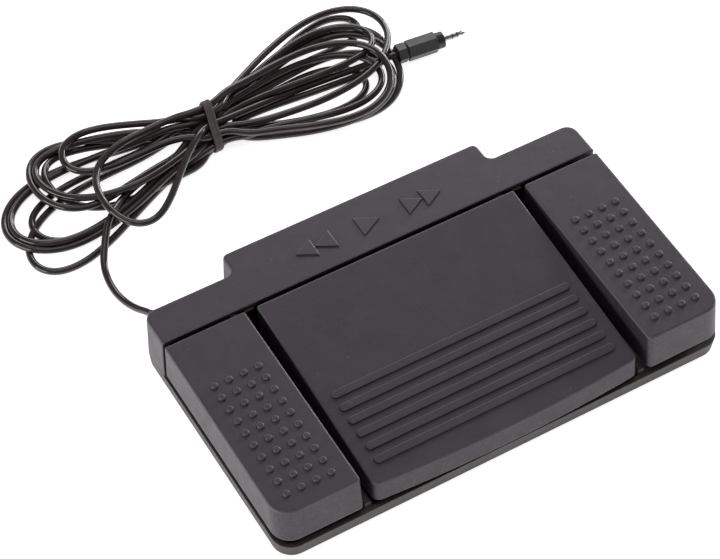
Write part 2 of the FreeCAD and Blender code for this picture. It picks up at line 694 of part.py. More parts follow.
def hollow_pedal(body, half, front, front_top, bottom, front_wall):
    """The open underside, with its ceiling parallel to the sloping top."""
    slope = f"((top_height - ({front_top})) / (({front}) - pedal_rear))"
    inner_front = f"({front}) - ({front_wall})"
    points = [
        ("-pedal_rear - wall", "0"),
        ("-pedal_rear - wall", f"top_height - pedal_skin - wall * {slope}"),
        (f"-({inner_front})", f"top_height - pedal_skin - (({inner_front}) - pedal_rear) * {slope}"),
        (f"-({inner_front})", "0"),
    ]
    sketch = draw_outline(new_sketch(body, "hollow_profile", "YZ_Plane"), points)
    extrude(body, "Pocket", "hollow", sketch, f"2 * (({half}) - wall)", both_ways=True)


def hinge_arms(body, arms):
    """Arms back to the shaft, each with an eye and a tail that rests on the tray."""
    for number, middle in enumerate(arms):
        across = (f"{middle} - arm_half", f"{middle} + arm_half")
        box(f"arm_{number}", across, ("-pedal_rear - 1", "axis_y"), ("arm_bottom", "arm_top"), body)
        cylinder(f"eye_{number}", across[0], "axis_y", "axis_z", "eye_radius", "2 * arm_half", body,
                 turn=TO_X)
        box(f"tail_{number}", across, ("axis_y", "tail_end"), ("arm_bottom", "arm_bottom + 3"), body)
    cylinder("bore", "-half_width", "axis_y", "axis_z", "shaft_radius + running_gap", "2 * half_width",
             body, True, TO_X)


def underside(body, spots, front, front_top, travel):
    """Spring seats, travel stops and the rib that presses the switch."""
    slope = f"((top_height - ({front_top})) / (({front}) - pedal_rear))"
    ceiling = f"top_height - pedal_skin / 2 - ({{y}} - pedal_rear) * {slope}"
    at_spring, at_bumper, at_switch = (ceiling.format(y=y) for y in ("spring_y", "bumper_y", "switch_y"))
    stop_low = f"bumper_top + stop_gap + (bumper_y + axis_y) * sin({travel})"
    press_low = "board_bottom + board_thick + switch_tall + plunger_out + plunger_gap"
    for number, x in enumerate(spots):
        cylinder(f"spring_cup_{number}", x, "-spring_y", "spring_top", "seat_radius",
                 f"{at_spring} - spring_top", body)
        cylinder(f"spring_pin_{number}", x, "-spring_y", "spring_top - spigot_rise", "spigot_radius",
                 "spigot_rise + 0.5", body)
        cylinder(f"stop_{number}", x, "-bumper_y", stop_low, "bumper_radius",
                 f"{at_bumper} - ({stop_low})", body)
    box("press_rib", ("-2.5", "2.5"), ("-switch_y - 1.5", "-switch_y + 1.5"), (press_low, at_switch), body)


def make_side_pedal(side, way):
    middle = f"{way} * side_centre"
    top_front = ("side_front", "side_front_top")
    body = pedal_body(side + "_pedal", middle, "side_half", top_front, "side_foot", "side_bottom")
    rear_corners = [("side_half", "-pedal_rear"), ("-side_half", "-pedal_rear")]
    outer, inner = (f"{way} * side_half", "-side_front"), (f"-1 * {way} * side_half", "-side_front")
    hollow_side(body, way)
    round_edges(body, "outer_corner", "front_round", upright_near([outer], 3.0))
    round_edges(body, "inner_corner", "inner_round", upright_near([inner], 3.0))
    round_edges(body, "rear_corners", "inner_round / 2", upright_near(rear_corners))
    slope_cut(body, "top_slope", "side_front", "side_front_top")
    round_edges(body, "top_rounding", "pedal_edge", top_edges(body, "side_front", "side_front_top"))

    sketch = new_sketch(body, "dot_circle", offset="side_front_top - 3")
    draw_circle(sketch, "-1.5 * dot_pitch_x", "-dot_first", "dot_radius")
    pad = extrude(body, "Pad", "dot", sketch, "8")
    pattern = body.newObject("PartDesign::LinearPattern", "dots")
    pattern.Originals = [pad]
    pattern.Direction = (sketch, ["H_Axis"])
    pattern.Direction2 = (sketch, ["V_Axis"])
    pattern.Reversed2 = True
    pattern.Occurrences = DOT_COLUMNS
    pattern.Occurrences2 = DOT_ROWS
    bind(pattern, Length=f"{DOT_COLUMNS - 1} * dot_pitch_x", Length2=f"{DOT_ROWS - 1} * dot_pitch_y")
    body.Tip = pattern
    doc.recompute()
    slope_cut(body, "dot_tops", "side_front", "side_front_top", "dot_rise")
    round_edges(body, "dot_rounding", "dot_round", raised_edges("side_front", "side_front_top", "dot_rise"))

    hinge_arms(body, [f"{way} * ({arm})" for arm in SIDE_ARMS])
    underside(body, ("0",), "side_front", "side_front_top", "side_travel")
    return body


DOT_COLUMNS = 4
DOT_ROWS = 10
RIB_COUNT = 6


def hollow_side(body, way):
    """A side pedal's hollow, with one corner inside the rounded outer corner."""
    wide = "(side_half - wall)"
    outline = [(f"-{wide}", "-side_front + wall"), (wide, "-side_front + wall"),
               (wide, "-pedal_rear - wall"), (f"-{wide}", "-pedal_rear - wall")]
    sketch = draw_outline(new_sketch(body, "hollow_outline", offset="side_bottom - 1"), outline)
    extrude(body, "Pocket", "hollow", sketch, "side_front_top - pedal_skin - side_bottom + 1",
            reversed_way=True)
    corner = outline[1] if way == "1" else outline[0]
    round_edges(body, "hollow_corner", "front_round - wall", upright_near([corner], 0.3))


def make_centre_pedal():
    spare = "centre_bow + 2"
    body = pedal_body("centre_pedal", "0", "centre_half", (f"centre_corner + {spare}", "centre_front_top"),
                      f"centre_foot + {spare}", "centre_bottom")
    bow_front(body)
    corners = [(f"{way} * centre_half", "-centre_corner") for way in ("-1", "1")]
    rear_corners = [(f"{way} * centre_half", "-pedal_rear") for way in ("-1", "1")]
    round_edges(body, "front_corners", "inner_round * 1.6", upright_near(corners, 3.0))
    round_edges(body, "rear_corners", "inner_round / 2", upright_near(rear_corners))
    slope_cut(body, "top_slope", "centre_corner", "centre_front_top")
    round_edges(body, "top_rounding", "pedal_edge", top_edges(body, "centre_corner", "centre_front_top"))

    sketch = new_sketch(body, "rib_slot", offset="centre_front_top - 6")
    draw_slot(sketch, "rib_half", "-rib_last", "rib_radius")
    pad = extrude(body, "Pad", "rib", sketch, "18")
    pattern = body.newObject("PartDesign::LinearPattern", "ribs")
    pattern.Originals = [pad]
    pattern.Direction = (sketch, ["V_Axis"])
    pattern.Occurrences = RIB_COUNT
    bind(pattern, Length=f"{RIB_COUNT - 1} * rib_pitch")
    body.Tip = pattern
    doc.recompute()
    slope_cut(body, "rib_tops", "centre_corner", "centre_front_top", "rib_rise")
    round_edges(body, "rib_rounding", "rib_round", raised_edges("centre_corner", "centre_front_top", "rib_rise"))

    hollow_pedal(body, "centre_half", "centre_corner", "centre_front_top", "centre_bottom", "wall")
    hinge_arms(body, CENTRE_ARMS)
    underside(body, ("-spring_x", "spring_x"), "centre_corner", "centre_front_top", "centre_travel")
    return body


def draw_slot(sketch, half, y, radius):
    """A slot along X with round ends, its end centres at -half and half."""
    reach, level, bend = size(half), size(y), size(radius)
    up, right, left = Vector(0, 0, 1), Vector(reach, level, 0), Vector(-reach, level, 0)
    sketch.addGeometry(Part.LineSegment(left + Vector(0, bend, 0), right + Vector(0, bend, 0)), False)
    sketch.addGeometry(Part.ArcOfCircle(Part.Circle(right, up, bend), -math.pi / 2, math.pi / 2), False)
    sketch.addGeometry(Part.LineSegment(right - Vector(0, bend, 0), left - Vector(0, bend, 0)), False)
    sketch.addGeometry(Part.ArcOfCircle(Part.Circle(left, up, bend), math.pi / 2, 3 * math.pi / 2), False)
    for first, first_end, second, second_end in ((0, 2, 1, 2), (1, 1, 2, 1), (2, 2, 3, 2), (3, 1, 0, 1)):
        sketch.addConstraint(Sketcher.Constraint("Tangent", first, first_end, second, second_end))
    pin_point(sketch, 1, 3, half, y)
    pin_point(sketch, 3, 3, f"-{half}", y)
    for arc in (1, 3):
        index = sketch.addConstraint(Sketcher.Constraint("Radius", arc, bend))
        sketch.renameConstraint(index, f"radius{arc}")
        sketch.setExpression(f"Constraints.radius{arc}", cells(radius))
    doc.recompute()
    return sketch


# ---------------------------------------------------------------- hinge, springs, switches and stops


def make_hinge_shaft():
    rod = cylinder("shaft_rod", "-shaft_half", "axis_y", "axis_z", "shaft_radius", "2 * shaft_half",
                   turn=TO_X)
    chamfer = doc.addObject("Part::Chamfer", "hinge_shaft")
    chamfer.Label = "hinge_shaft"
    doc.recompute()
    chamfer.Base = rod
    ends = [number for number, edge in enumerate(rod.Shape.Edges, start=1) if edge.Length < 12]
    chamfer.Edges = [(number, 0.3, 0.3) for number in ends]
    return chamfer


def make_shaft_clips():
    clips = []
    for side, way in SIDES:
        start = f"{way} * clip_x - 0.3"
        disc = cylinder(f"{side}_clip_disc", start, "axis_y", "axis_z", "3.0", "0.6", turn=TO_X)
        hole = cylinder(f"{side}_clip_hole", start + " - 1", "axis_y", "axis_z",
                        "shaft_radius + seat_gap", "3", turn=TO_X)
        clips.append(cut_from(f"{side}_clip", disc, hole))
    return group("shaft_clips", clips)


def helix_spring(name, x):
    """A compression spring between its seats, as a round wire along a helix."""
    height = "spring_top - spring_seat - 2 * spring_wire - 0.1"
    spring = doc.addObject("PartDesign::Body", name)
    place(spring, x, "-spring_y", "spring_seat + spring_wire + 0.05")
    sketch = draw_circle(new_sketch(spring, name + "_wire", "XZ_Plane"), "spring_radius", "0", "spring_wire")
    helix = spring.newObject("PartDesign::AdditiveHelix", name + "_helix")
    helix.Profile = sketch
    helix.ReferenceAxis = (sketch, ["V_Axis"])
    helix.Mode = "height-turns-growth"
    bind(helix, Height=height, Turns="spring_turns")
    doc.recompute()
    return spring


def make_springs():
    made = []
    for side, way in SIDES:
        spring = helix_spring(side + "_return_spring", f"{way} * side_centre")
        spring.Label = side + "_return_spring"
        made.append(spring)
    pair = [helix_spring(f"centre_spring_{side}", f"{way} * spring_x") for side, way in SIDES]
    made.append(group("centre_return_springs", pair))
    return made


SWITCH_SPOTS = {"left": "-side_centre", "centre": "0", "right": "side_centre"}


def make_switches():
    made = []
    deck = "board_bottom + board_thick"
    for side, x in SWITCH_SPOTS.items():
        body = new_body(side + "_switch", x=x)
        along = ("-switch_y - switch_half_y", "-switch_y + switch_half_y")
        box("case", ("-switch_half_x", "switch_half_x"), along, (deck, f"{deck} + switch_tall"), body)
        cylinder("plunger_hole", "0", "-switch_y", f"{deck} + switch_tall - plunger_long + 0.1",
                 "plunger_radius + plunger_gap", "plunger_long", body, True)
        long_edge = lambda edge: abs(edge.Length - 2 * size("switch_half_x")) < 0.01
        round_edges(body, "case_edges", "0.3", long_edge)
        plunger = new_body(side + "_switch_plunger", x=x)
        cylinder("pin", "0", "-switch_y", f"{deck} + switch_tall + plunger_out - plunger_long",
                 "plunger_radius", "plunger_long", plunger)
        crown = size(f"{deck} + switch_tall + plunger_out")
        round_edges(plunger, "crown", "0.3", lambda edge: abs(edge.CenterOfMass.z - crown) < 1e-3)
        made += [body, plunger]
    return made


def make_rubber_bumpers():
    bumpers = [
        cylinder(f"bumper_{number}", x, "-bumper_y", "bumper_top - bumper_thick", "bumper_radius",
                 "bumper_thick")
        for number, x in enumerate(SPRING_SPOTS)
    ]
    return group("rubber_bumpers", bumpers)


# ---------------------------------------------------------------- board, screws and cable entry


def make_circuit_board():
    blank = box("board_blank", ("-board_half", "board_half"), ("-board_front", "-board_rear"),
                ("board_bottom", "board_bottom + board_thick"))
    holes = [
        cylinder(f"board_hole_{number}", x, "-switch_y", "0", "1.2", "20")
        for number, x in enumerate(BOARD_SCREWS)
    ]
    return cut_from("circuit_board", blank, group("board_holes", holes))


def screw(name, x, y, seat, head_radius, head_tall, shank_radius, shank_long, upwards):
    """A pan-headed screw whose head bears at height seat."""
    if upwards:
        head = cylinder(name + "_head", x, y, f"{seat} - {head_tall}", head_radius, head_tall)
        shank = cylinder(name + "_shank", x, y, f"{seat} - 0.1", shank_radius, f"{shank_long} + 0.1")
    else:
        head = cylinder(name + "_head", x, y, seat, head_radius, head_tall)
        shank = cylinder(name + "_shank", x, y, f"{seat} - {shank_long}", shank_radius,
                         f"{shank_long} + 0.1")
    return joined(name, [head, shank])


def make_screws():
    deck = "board_bottom + board_thick"
    board = [
        screw(f"board_screw_{number}", x, "-switch_y", deck, "1.9", "1.1", "1.0", "3.6", False)
        for number, x in enumerate(BOARD_SCREWS)
    ]
    housing = [
        screw(f"housing_screw_{number}", x, y, "foot_drop + 2.2", "screw_head", "1.6", "screw_radius",
              "screw_long", True)
        for number, (x, y) in enumerate(HOUSING_SCREWS)
    ]
    clamp = [
        screw(f"clamp_screw_{number}", x, "clamp_y", "clamp_low + clamp_thick", "1.8", "1.0", "1.0",
              "5.5", False)
        for number, x in enumerate(CLAMP_SCREWS)
    ]
    return [group("board_screws", board), group("housing_screws", housing), group("clamp_screws", clamp)]


def make_cable_clamp():
    across = (f"{CLAMP_SCREWS[0]} - 2", f"{CLAMP_SCREWS[1]} + 2")
    bar = box("clamp_bar", across, ("clamp_y - 1.4", "clamp_y + 1.4"),
              ("clamp_low", "clamp_low + clamp_thick"))
    holes = [cylinder(f"clamp_hole_{number}", x, "clamp_y", "0", "1.15", "20")
             for number, x in enumerate(CLAMP_SCREWS)]
    return cut_from("cable_clamp", bar, group("clamp_holes", holes))


def make_strain_relief():
    """Turned about the cord's axis: flange inside the wall, neck through it, tapered sleeve outside."""
    body = new_body("strain_relief", x="-exit_x", z="exit_z", turn=TO_Y)
    inside, outside = "housing_rear - wall - 0.1", "rim_rear + 0.1"
    profile = [
        ("0", f"{inside} - 2"),
        ("relief_flange", f"{inside} - 2"),
        ("relief_flange", inside),
        ("relief_neck", inside),
        ("relief_neck", outside),
        ("relief_root", outside),
        ("relief_root", f"{outside} + 1.4"),
        ("relief_tip", "relief_end"),
        ("0", "relief_end"),
    ]
    sketch = draw_outline(new_sketch(body, "relief_profile", "XZ_Plane"), profile)
    turned = body.newObject("PartDesign::Revolution", "turned")
    turned.Profile = sketch
    turned.ReferenceAxis = (sketch, ["V_Axis"])
    turned.Angle = 360
    doc.recompute()
    return body


# ---------------------------------------------------------------- cord, hank, tie and plug

# The cord's free stretch, from the strain relief's thin end to the hank.
CORD_ROUTE = [
    (-88.0, 29.0, 11.0),
    (-88.8, 38.5, 9.4),
    (-90.9, 47.5, 4.6),
    (-91.4, 57.5, 1.9),
    (-88.8, 67.0, 1.6),
]

# The cord inside, from the strain relief's flange under the shaft to the board's edge.
LEAD_ROUTE = [
    (-88.0, 13.6, 11.0),
    (-87.9, 8.6, 10.3),
    (-87.6, 2.6, 7.9),
    (-87.3, -4.5, 7.5),
]

WIRE_RADIUS = 0.45
WIRE_SPREAD = 1.0
WIRE_COUNT = 4
BEND_SHARE = 0.45


def bent_wire(points):
    """Straight runs joined by tangent arcs; prints each arc's radius."""
    route = [Vector(*point) for point in points]
    edges, start, radii = [], route[0], []
    for before, corner, after in zip(route, route[1:], route[2:]):
        back, ahead = (before - corner), (after - corner)
        reach = BEND_SHARE * min(back.Length, ahead.Length)
        back.normalize()
        ahead.normalize()
        half_turn = (math.pi - back.getAngle(ahead)) / 2
        radius = reach / math.tan(half_turn)
        inward = (back + ahead).normalize()
        nearest = corner + inward * (radius / math.cos(half_turn) - radius)
        first, last = corner + back * reach, corner + ahead * reach
        edges.append(Part.LineSegment(start, first).toShape())
        edges.append(Part.Arc(first, nearest, last).toShape())
        radii.append(radius)
        start = last
    edges.append(Part.LineSegment(start, route[-1]).toShape())
    print("arc radii (mm):", ", ".join(f"{radius:.1f}" for radius in radii))
    return Part.Wire(edges)


def tube(label, points, radius):
    """A round tube along the route, compared with its section times its length."""
    spine = bent_wire(points)
    direction = Vector(*points[1]) - Vector(*points[0])
    ring = Part.Wire([Part.Circle(Vector(*points[0]), direction, radius).toShape()])
    solid = spine.makePipeShell([ring], True, True)
    expected = math.pi * radius**2 * spine.Length
    if abs(solid.Volume - expected) > 0.01 * expected:
        raise RuntimeError(f"{label} has volume {solid.Volume:.1f}, not {expected:.1f}")
    print(f"{label}: length {spine.Length:.1f} mm")
    item = doc.addObject("Part::Feature", label)
    item.Shape = solid
    item.Label = label
    item.Placement = FreeCAD.Placement()
    return item


def make_lead_wires():
    """The cord's cores, fanned out from its inner end down to the board."""
    end = Vector(*LEAD_ROUTE[-1])
    deck = size("board_bottom + board_thick")
    wires = []
    for number in range(WIRE_COUNT):
        side = (number - (WIRE_COUNT - 1) / 2) * WIRE_SPREAD
        start = end + Vector(side * 0.7, 0, 0)
        points = [start, start + Vector(side * 0.1, -1.5, 0.2), start + Vector(side * 0.4, -3.0, -0.1)]
        points.append(Vector(start.x + side * 0.8, start.y - 4.4, deck + WIRE_RADIUS))
        wires.append(tube(f"lead_wire_{number}", [tuple(point) for point in points], WIRE_RADIUS))
    return group("lead_wires", wires)


# The tied hank in plan: two fans of loops that narrow to the tie.
HANK_OUTLINE = [
    (-21.7, 114.0),
    (-43.0, 121.5),
    (-65.0, 129.5),
    (-84.0, 132.5),
    (-100.0, 127.5),
    (-112.5, 114.0),
    (-118.5, 98.0),
    (-116.0, 80.5),
    (-106.0, 71.0),
    (-88.0, 69.5),
    (-68.0, 69.5),
    (-53.0, 76.5),
    (-38.5, 91.5),
    (-22.3, 98.4),
    (-4.0, 91.5),
    (14.0, 83.5),
    (33.0, 78.0),
    (50.0, 81.0),
    (62.0, 89.5),
    (68.5, 103.0),
    (73.0, 119.0),
    (72.5, 131.0),
    (65.0, 139.5),
    (50.0, 142.0),
    (33.0, 138.5),
    (16.0, 130.0),
    (-3.0, 121.0),
]
TIE_PLACE = Vector(-22.0, 106.2, 0)
TIE_TURN = 2.4
TIE_SPAN = 21.0


def make_cord_hank():
    """One closed solid of the hank's outer shape, notched flat where the plug's cap meets it."""
    loop = Part.BSplineCurve()
    loop.interpolate([Vector(x, y, 0) for x, y in HANK_OUTLINE], PeriodicFlag=True)
    face = Part.Face(Part.Wire([loop.toShape()]))
    solid = face.extrude(Vector(0, 0, size("hank_thick")))
    reach, notch = 30.0, 14.0
    trim = Part.makeBox(reach, notch, reach, Vector(0, -notch / 2, -reach / 2))
    trim.Placement = plug_frame()
    solid = solid.cut(trim)
    item = doc.addObject("Part::Feature", "cord_hank")
    item.Shape = solid
    item.Label = "cord_hank"
    item.Placement = FreeCAD.Placement()
    return item


def make_cord_tie():
    """A flat band round the hank's waist."""
    turn = Rotation(Vector(0, 0, 1), TIE_TURN)
    half = size("tie_half")
    thick, tall = size("tie_thick"), size("hank_thick")
    outer = Part.makeBox(2 * half, TIE_SPAN, tall + thick, Vector(-half, -TIE_SPAN / 2, 0))
    inner = Part.makeBox(4 * half, TIE_SPAN - 2 * thick, tall, Vector(-2 * half, -TIE_SPAN / 2 + thick, 0))
    band = outer.cut(inner)
    rounded = [edge for edge in band.Edges
               if abs(edge.Length - 2 * half) < 1e-3 and edge.CenterOfMass.z > tall]
    band = band.makeFillet(2.5 * thick, rounded)
    item = doc.addObject("Part::Feature", "cord_tie")
    item.Shape = band
    item.Label = "cord_tie"
    item.Placement = FreeCAD.Placement(TIE_PLACE, turn)
    return item


def plug_frame():
    """Placement whose +X runs along the plug from its cord end to its tip."""
    turn = Rotation(Vector(0, 0, 1), size("plug_turn"))
    return FreeCAD.Placement(Vector(size("plug_x"), size("plug_y"), size("plug_z")), turn)


PLUG_ROLL = 25.0


def on_plug(item, start, hexagonal=False):
    """Turn a primitive's +Z to the plug's axis and slide it along by start."""
    along = size(start)
    frame = plug_frame()
    spin = Rotation(Vector(0, 0, 1), PLUG_ROLL if hexagonal else 0)
    item.Placement = FreeCAD.Placement(frame.multVec(Vector(along, 0, 0)), frame.Rotation * TO_X * spin)
    bind(
        item,
        Placement__Base__x=f"plug_x + ({start}) * cos(plug_turn)",
        Placement__Base__y=f"plug_y + ({start}) * sin(plug_turn)",
        Placement__Base__z="plug_z",
    )
    return item


def hexagon(name, start, radius, length):
    item = doc.addObject("Part::Prism", name)
    item.Polygon = 6
    bind(item, Circumradius=radius, Height=length)
    return on_plug(item, start, hexagonal=True)


def round_bar(name, start, radius, length):
    item = doc.addObject("Part::Cylinder", name)
    bind(item, Radius=radius, Height=length)
    return on_plug(item, start)


def cone(name, start, first_radius, last_radius, length):
    item = doc.addObject("Part::Cone", name)
    bind(item, Radius1=first_radius, Radius2=last_radius, Height=length)
    return on_plug(item, start)


def labelled(item, label):
    item.Label = label
    return item


def make_plug():
    neck = "cap_long"
    grip = "cap_long + neck_long"
    collar = grip + " + grip_long"
    pin = collar + " + collar_long"
    first_band = f"{pin} + sleeve_end"
    ring = f"{first_band} + band_wide"
    second_band = f"{ring} + ring_wide"
    tip = f"{second_band} + band_wide"
    tip_long = "(pin_long - sleeve_end - ring_wide - 2 * band_wide)"
    body = joined("plug_body", [round_bar("plug_neck", neck, "neck_radius", "neck_long"),
                                hexagon("plug_grip", grip, "grip_radius", "grip_long")])
    pieces = [
        labelled(hexagon("plug_cap", "0", "cap_radius", "cap_long"), "plug_cap"),
        labelled(body, "plug_body"),
        labelled(round_bar("plug_collar", collar, "collar_radius", "collar_long"), "plug_collar"),
        labelled(round_bar("plug_sleeve", pin, "pin_radius", "sleeve_end"), "plug_sleeve"),
        labelled(round_bar("plug_ring", ring, "pin_radius", "ring_wide"), "plug_ring"),
        group("plug_insulators", [round_bar("band_one", first_band, "pin_radius - 0.03", "band_wide"),
                                  round_bar("band_two", second_band, "pin_radius - 0.03", "band_wide")]),
    ]
    tip_parts = [
        cone("tip_back", tip, "pin_radius", "tip_neck", f"{tip_long} * 0.3"),
        cone("tip_rise", f"{tip} + {tip_long} * 0.3", "tip_neck", "pin_radius", f"{tip_long} * 0.25"),
        cone("tip_nose", f"{tip} + {tip_long} * 0.55", "pin_radius", "0.35", f"{tip_long} * 0.45"),
    ]
    return pieces + [labelled(joined("plug_tip", tip_parts), "plug_tip")]


# ---------------------------------------------------------------- assembly and output


def main():
    parts = [make_base_tray(), make_ballast_plate(), make_rubber_feet(), make_rear_housing()]
    parts += [make_side_pedal(side, way) for side, way in SIDES]
    parts += [make_centre_pedal(), make_hinge_shaft(), make_shaft_clips()]
    parts += make_springs() + make_switches()
    parts += [make_rubber_bumpers(), make_circuit_board()]
    parts += make_screws() + [make_cable_clamp(), make_strain_relief()]
    parts += [tube("inner_lead", LEAD_ROUTE, size("cord_radius")), make_lead_wires()]
    parts += [tube("cord", CORD_ROUTE, size("cord_radius")), make_cord_hank(), make_cord_tie()]
    parts += make_plug()
    doc.recompute()

    failed = [item.Name for item in doc.Objects if {"Invalid", "Error"} & set(item.State)]
    if failed:
        raise RuntimeError("failed objects: " + ", ".join(failed))
    for part in parts:
        if part.Shape.isNull() or not part.Shape.isValid() or not part.Shape.Solids:
            raise RuntimeError(part.Label + " has no valid solid")
    os.makedirs("parts", exist_ok=True)
    for part in parts:
        part.Shape.exportStep(f"parts/{part.Label}.step")
        box_of = part.Shape.BoundBox
        print(f"{part.Label}: {len(part.Shape.Solids)} solid(s), {part.Shape.Volume:.0f} mm3, "
              f"z {box_of.ZMin:.2f} to {box_of.ZMax:.2f}")


main()
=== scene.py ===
import math

import bpy
import numpy as np
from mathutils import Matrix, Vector


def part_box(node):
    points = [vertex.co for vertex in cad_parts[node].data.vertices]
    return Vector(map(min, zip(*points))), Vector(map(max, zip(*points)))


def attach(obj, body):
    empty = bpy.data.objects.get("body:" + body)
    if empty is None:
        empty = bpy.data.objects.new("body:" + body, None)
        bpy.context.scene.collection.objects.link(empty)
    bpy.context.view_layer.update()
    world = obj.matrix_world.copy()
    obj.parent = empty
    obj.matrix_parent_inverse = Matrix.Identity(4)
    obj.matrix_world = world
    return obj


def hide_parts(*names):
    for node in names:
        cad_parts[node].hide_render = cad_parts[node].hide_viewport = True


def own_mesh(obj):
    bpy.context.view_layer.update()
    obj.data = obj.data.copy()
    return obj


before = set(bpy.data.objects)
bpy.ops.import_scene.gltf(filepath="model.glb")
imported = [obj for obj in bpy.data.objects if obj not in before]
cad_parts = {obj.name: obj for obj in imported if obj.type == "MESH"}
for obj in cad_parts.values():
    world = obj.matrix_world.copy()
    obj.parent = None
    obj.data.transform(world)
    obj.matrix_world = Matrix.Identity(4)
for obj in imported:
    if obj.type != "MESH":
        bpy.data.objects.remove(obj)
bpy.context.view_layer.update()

MM = 0.001

# ---------------------------------------------------------------------------
# Materials. Every length inside a node tree is in metres, and noise scales are
# patterns per metre, so grain keeps its real size on every part.
# ---------------------------------------------------------------------------


COLOUR_A, COLOUR_B, COLOUR_OUT = 6, 7, 2  # the Mix node's colour sockets
BEVEL_SAMPLES = 6
OPENNESS_SAMPLES = 4


class Look:
    """A node material round one Principled shader, built link by link."""

    def __init__(self, name, base, roughness, **fixed):
        self.material = bpy.data.materials.new(name)
        self.material.use_nodes = True
        self.tree = self.material.node_tree
        self.tree.nodes.clear()
        output = self.tree.nodes.new("ShaderNodeOutputMaterial")
        self.shader = self.tree.nodes.new("ShaderNodeBsdfPrincipled")
        self.join(self.shader.outputs["BSDF"], output.inputs["Surface"])
        self.shader.inputs["Base Color"].default_value = (*base, 1)
        self.shader.inputs["Roughness"].default_value = roughness
        for socket, value in fixed.items():
            self.shader.inputs[socket.replace("_", " ")].default_value = value
        self.where = self.tree.nodes.new("ShaderNodeTexCoord").outputs["Object"]
        self.bump_normal = None

    def join(self, source, target):
        self.tree.links.new(source, target)

    def noise(self, per_metre, detail=2.0, roughness=0.5, stretch=None, distortion=0.0):
        node = self.tree.nodes.new("ShaderNodeTexNoise")
        node.inputs["Scale"].default_value = per_metre
        node.inputs["Detail"].default_value = detail
        node.inputs["Roughness"].default_value = roughness
        node.inputs["Distortion"].default_value = distortion
        where = self.where
        if stretch:
            mapping = self.tree.nodes.new("ShaderNodeMapping")
            mapping.inputs["Scale"].default_value = stretch
            self.join(where, mapping.inputs["Vector"])
            where = mapping.outputs["Vector"]
        self.join(where, node.inputs["Vector"])
        return node.outputs["Fac"]

    def specks(self, per_metre, size):
        """Small round specks: 1 inside, 0 outside."""
        node = self.tree.nodes.new("ShaderNodeTexVoronoi")
        node.inputs["Scale"].default_value = per_metre
        self.join(self.where, node.inputs["Vector"])
        return self.span(node.outputs["Distance"], size, size * 0.4, 0.0, 1.0)

    def span(self, value, low, high, to_low, to_high):
        """Maps low..high to to_low..to_high in a smooth step, and stays there outside it."""
        node = self.tree.nodes.new("ShaderNodeMapRange")
        node.interpolation_type = "SMOOTHSTEP"
        for socket, number in (("From Min", low), ("From Max", high),
                               ("To Min", to_low), ("To Max", to_high)):
            node.inputs[socket].default_value = number
        self.join(value, node.inputs["Value"])
        return node.outputs["Result"]

    def maths(self, operation, a, b=0.0):
        node = self.tree.nodes.new("ShaderNodeMath")
        node.operation = operation
        for socket, value in zip(node.inputs, (a, b)):
            if isinstance(value, (int, float)):
                socket.default_value = value
            else:
                self.join(value, socket)
        return node.outputs["Value"]

    def blend(self, amount, colour_a, colour_b):
        node = self.tree.nodes.new("ShaderNodeMix")
        node.data_type = "RGBA"
        self.join(amount, node.inputs["Factor"])
        for socket, colour in ((node.inputs[COLOUR_A], colour_a), (node.inputs[COLOUR_B], colour_b)):
            if isinstance(colour, tuple):
                socket.default_value = (*colour, 1)
            else:
                self.join(colour, socket)
        return node.outputs[COLOUR_OUT]

    def rounded(self, radius):
        """Normals that run smoothly over the edges, as the small radius of a mould does."""
        node = self.tree.nodes.new("ShaderNodeBevel")
        node.samples = BEVEL_SAMPLES
        node.inputs["Radius"].default_value = radius
        self.bump_normal = node.outputs["Normal"]
        return self.bump_normal

    def openness(self, reach):
        """1 in the open, towards 0 down in slots and along inner corners; used to paint shade there
        and to keep the lighter edges off inner corners.
        """
        node = self.tree.nodes.new("ShaderNodeAmbientOcclusion")
        node.samples = OPENNESS_SAMPLES
        node.inputs["Distance"].default_value = reach
        return node.outputs["AO"]

    def edges(self, radius):
        """1 on outer and inner edges, 0 on open faces."""
        soft = self.rounded(radius)
        geometry = self.tree.nodes.new("ShaderNodeNewGeometry")
        dot = self.tree.nodes.new("ShaderNodeVectorMath")
        dot.operation = "DOT_PRODUCT"
        self.join(soft, dot.inputs[0])
        self.join(geometry.outputs["Normal"], dot.inputs[1])
        return self.span(dot.outputs["Value"], 0.99, 0.8, 0.0, 1.0)

    def levelness(self):
        """1 on level faces, 0 on upright walls, in between on rounded edges and studs."""
        geometry = self.tree.nodes.new("ShaderNodeNewGeometry")
        parts = self.tree.nodes.new("ShaderNodeSeparateXYZ")
        self.join(geometry.outputs["Normal"], parts.inputs["Vector"])
        return self.maths("ABSOLUTE", parts.outputs["Z"])

    def bump(self, height, distance):
        node = self.tree.nodes.new("ShaderNodeBump")
        node.inputs["Distance"].default_value = distance
        self.join(height, node.inputs["Height"])
        if self.bump_normal is not None:
            self.join(self.bump_normal, node.inputs["Normal"])
        self.bump_normal = node.outputs["Normal"]
        self.join(self.bump_normal, self.shader.inputs["Normal"])

    def colour(self, value):
        self.join(value, self.shader.inputs["Base Color"])

    def roughness(self, value):
        self.join(value, self.shader.inputs["Roughness"])


def scaled(colour, factor):
    return tuple(factor * c for c in colour)


def between(colour, other, share):
    return tuple(a + share * (b - a) for a, b in zip(colour, other))


DUST = (0.2, 0.19, 0.19)


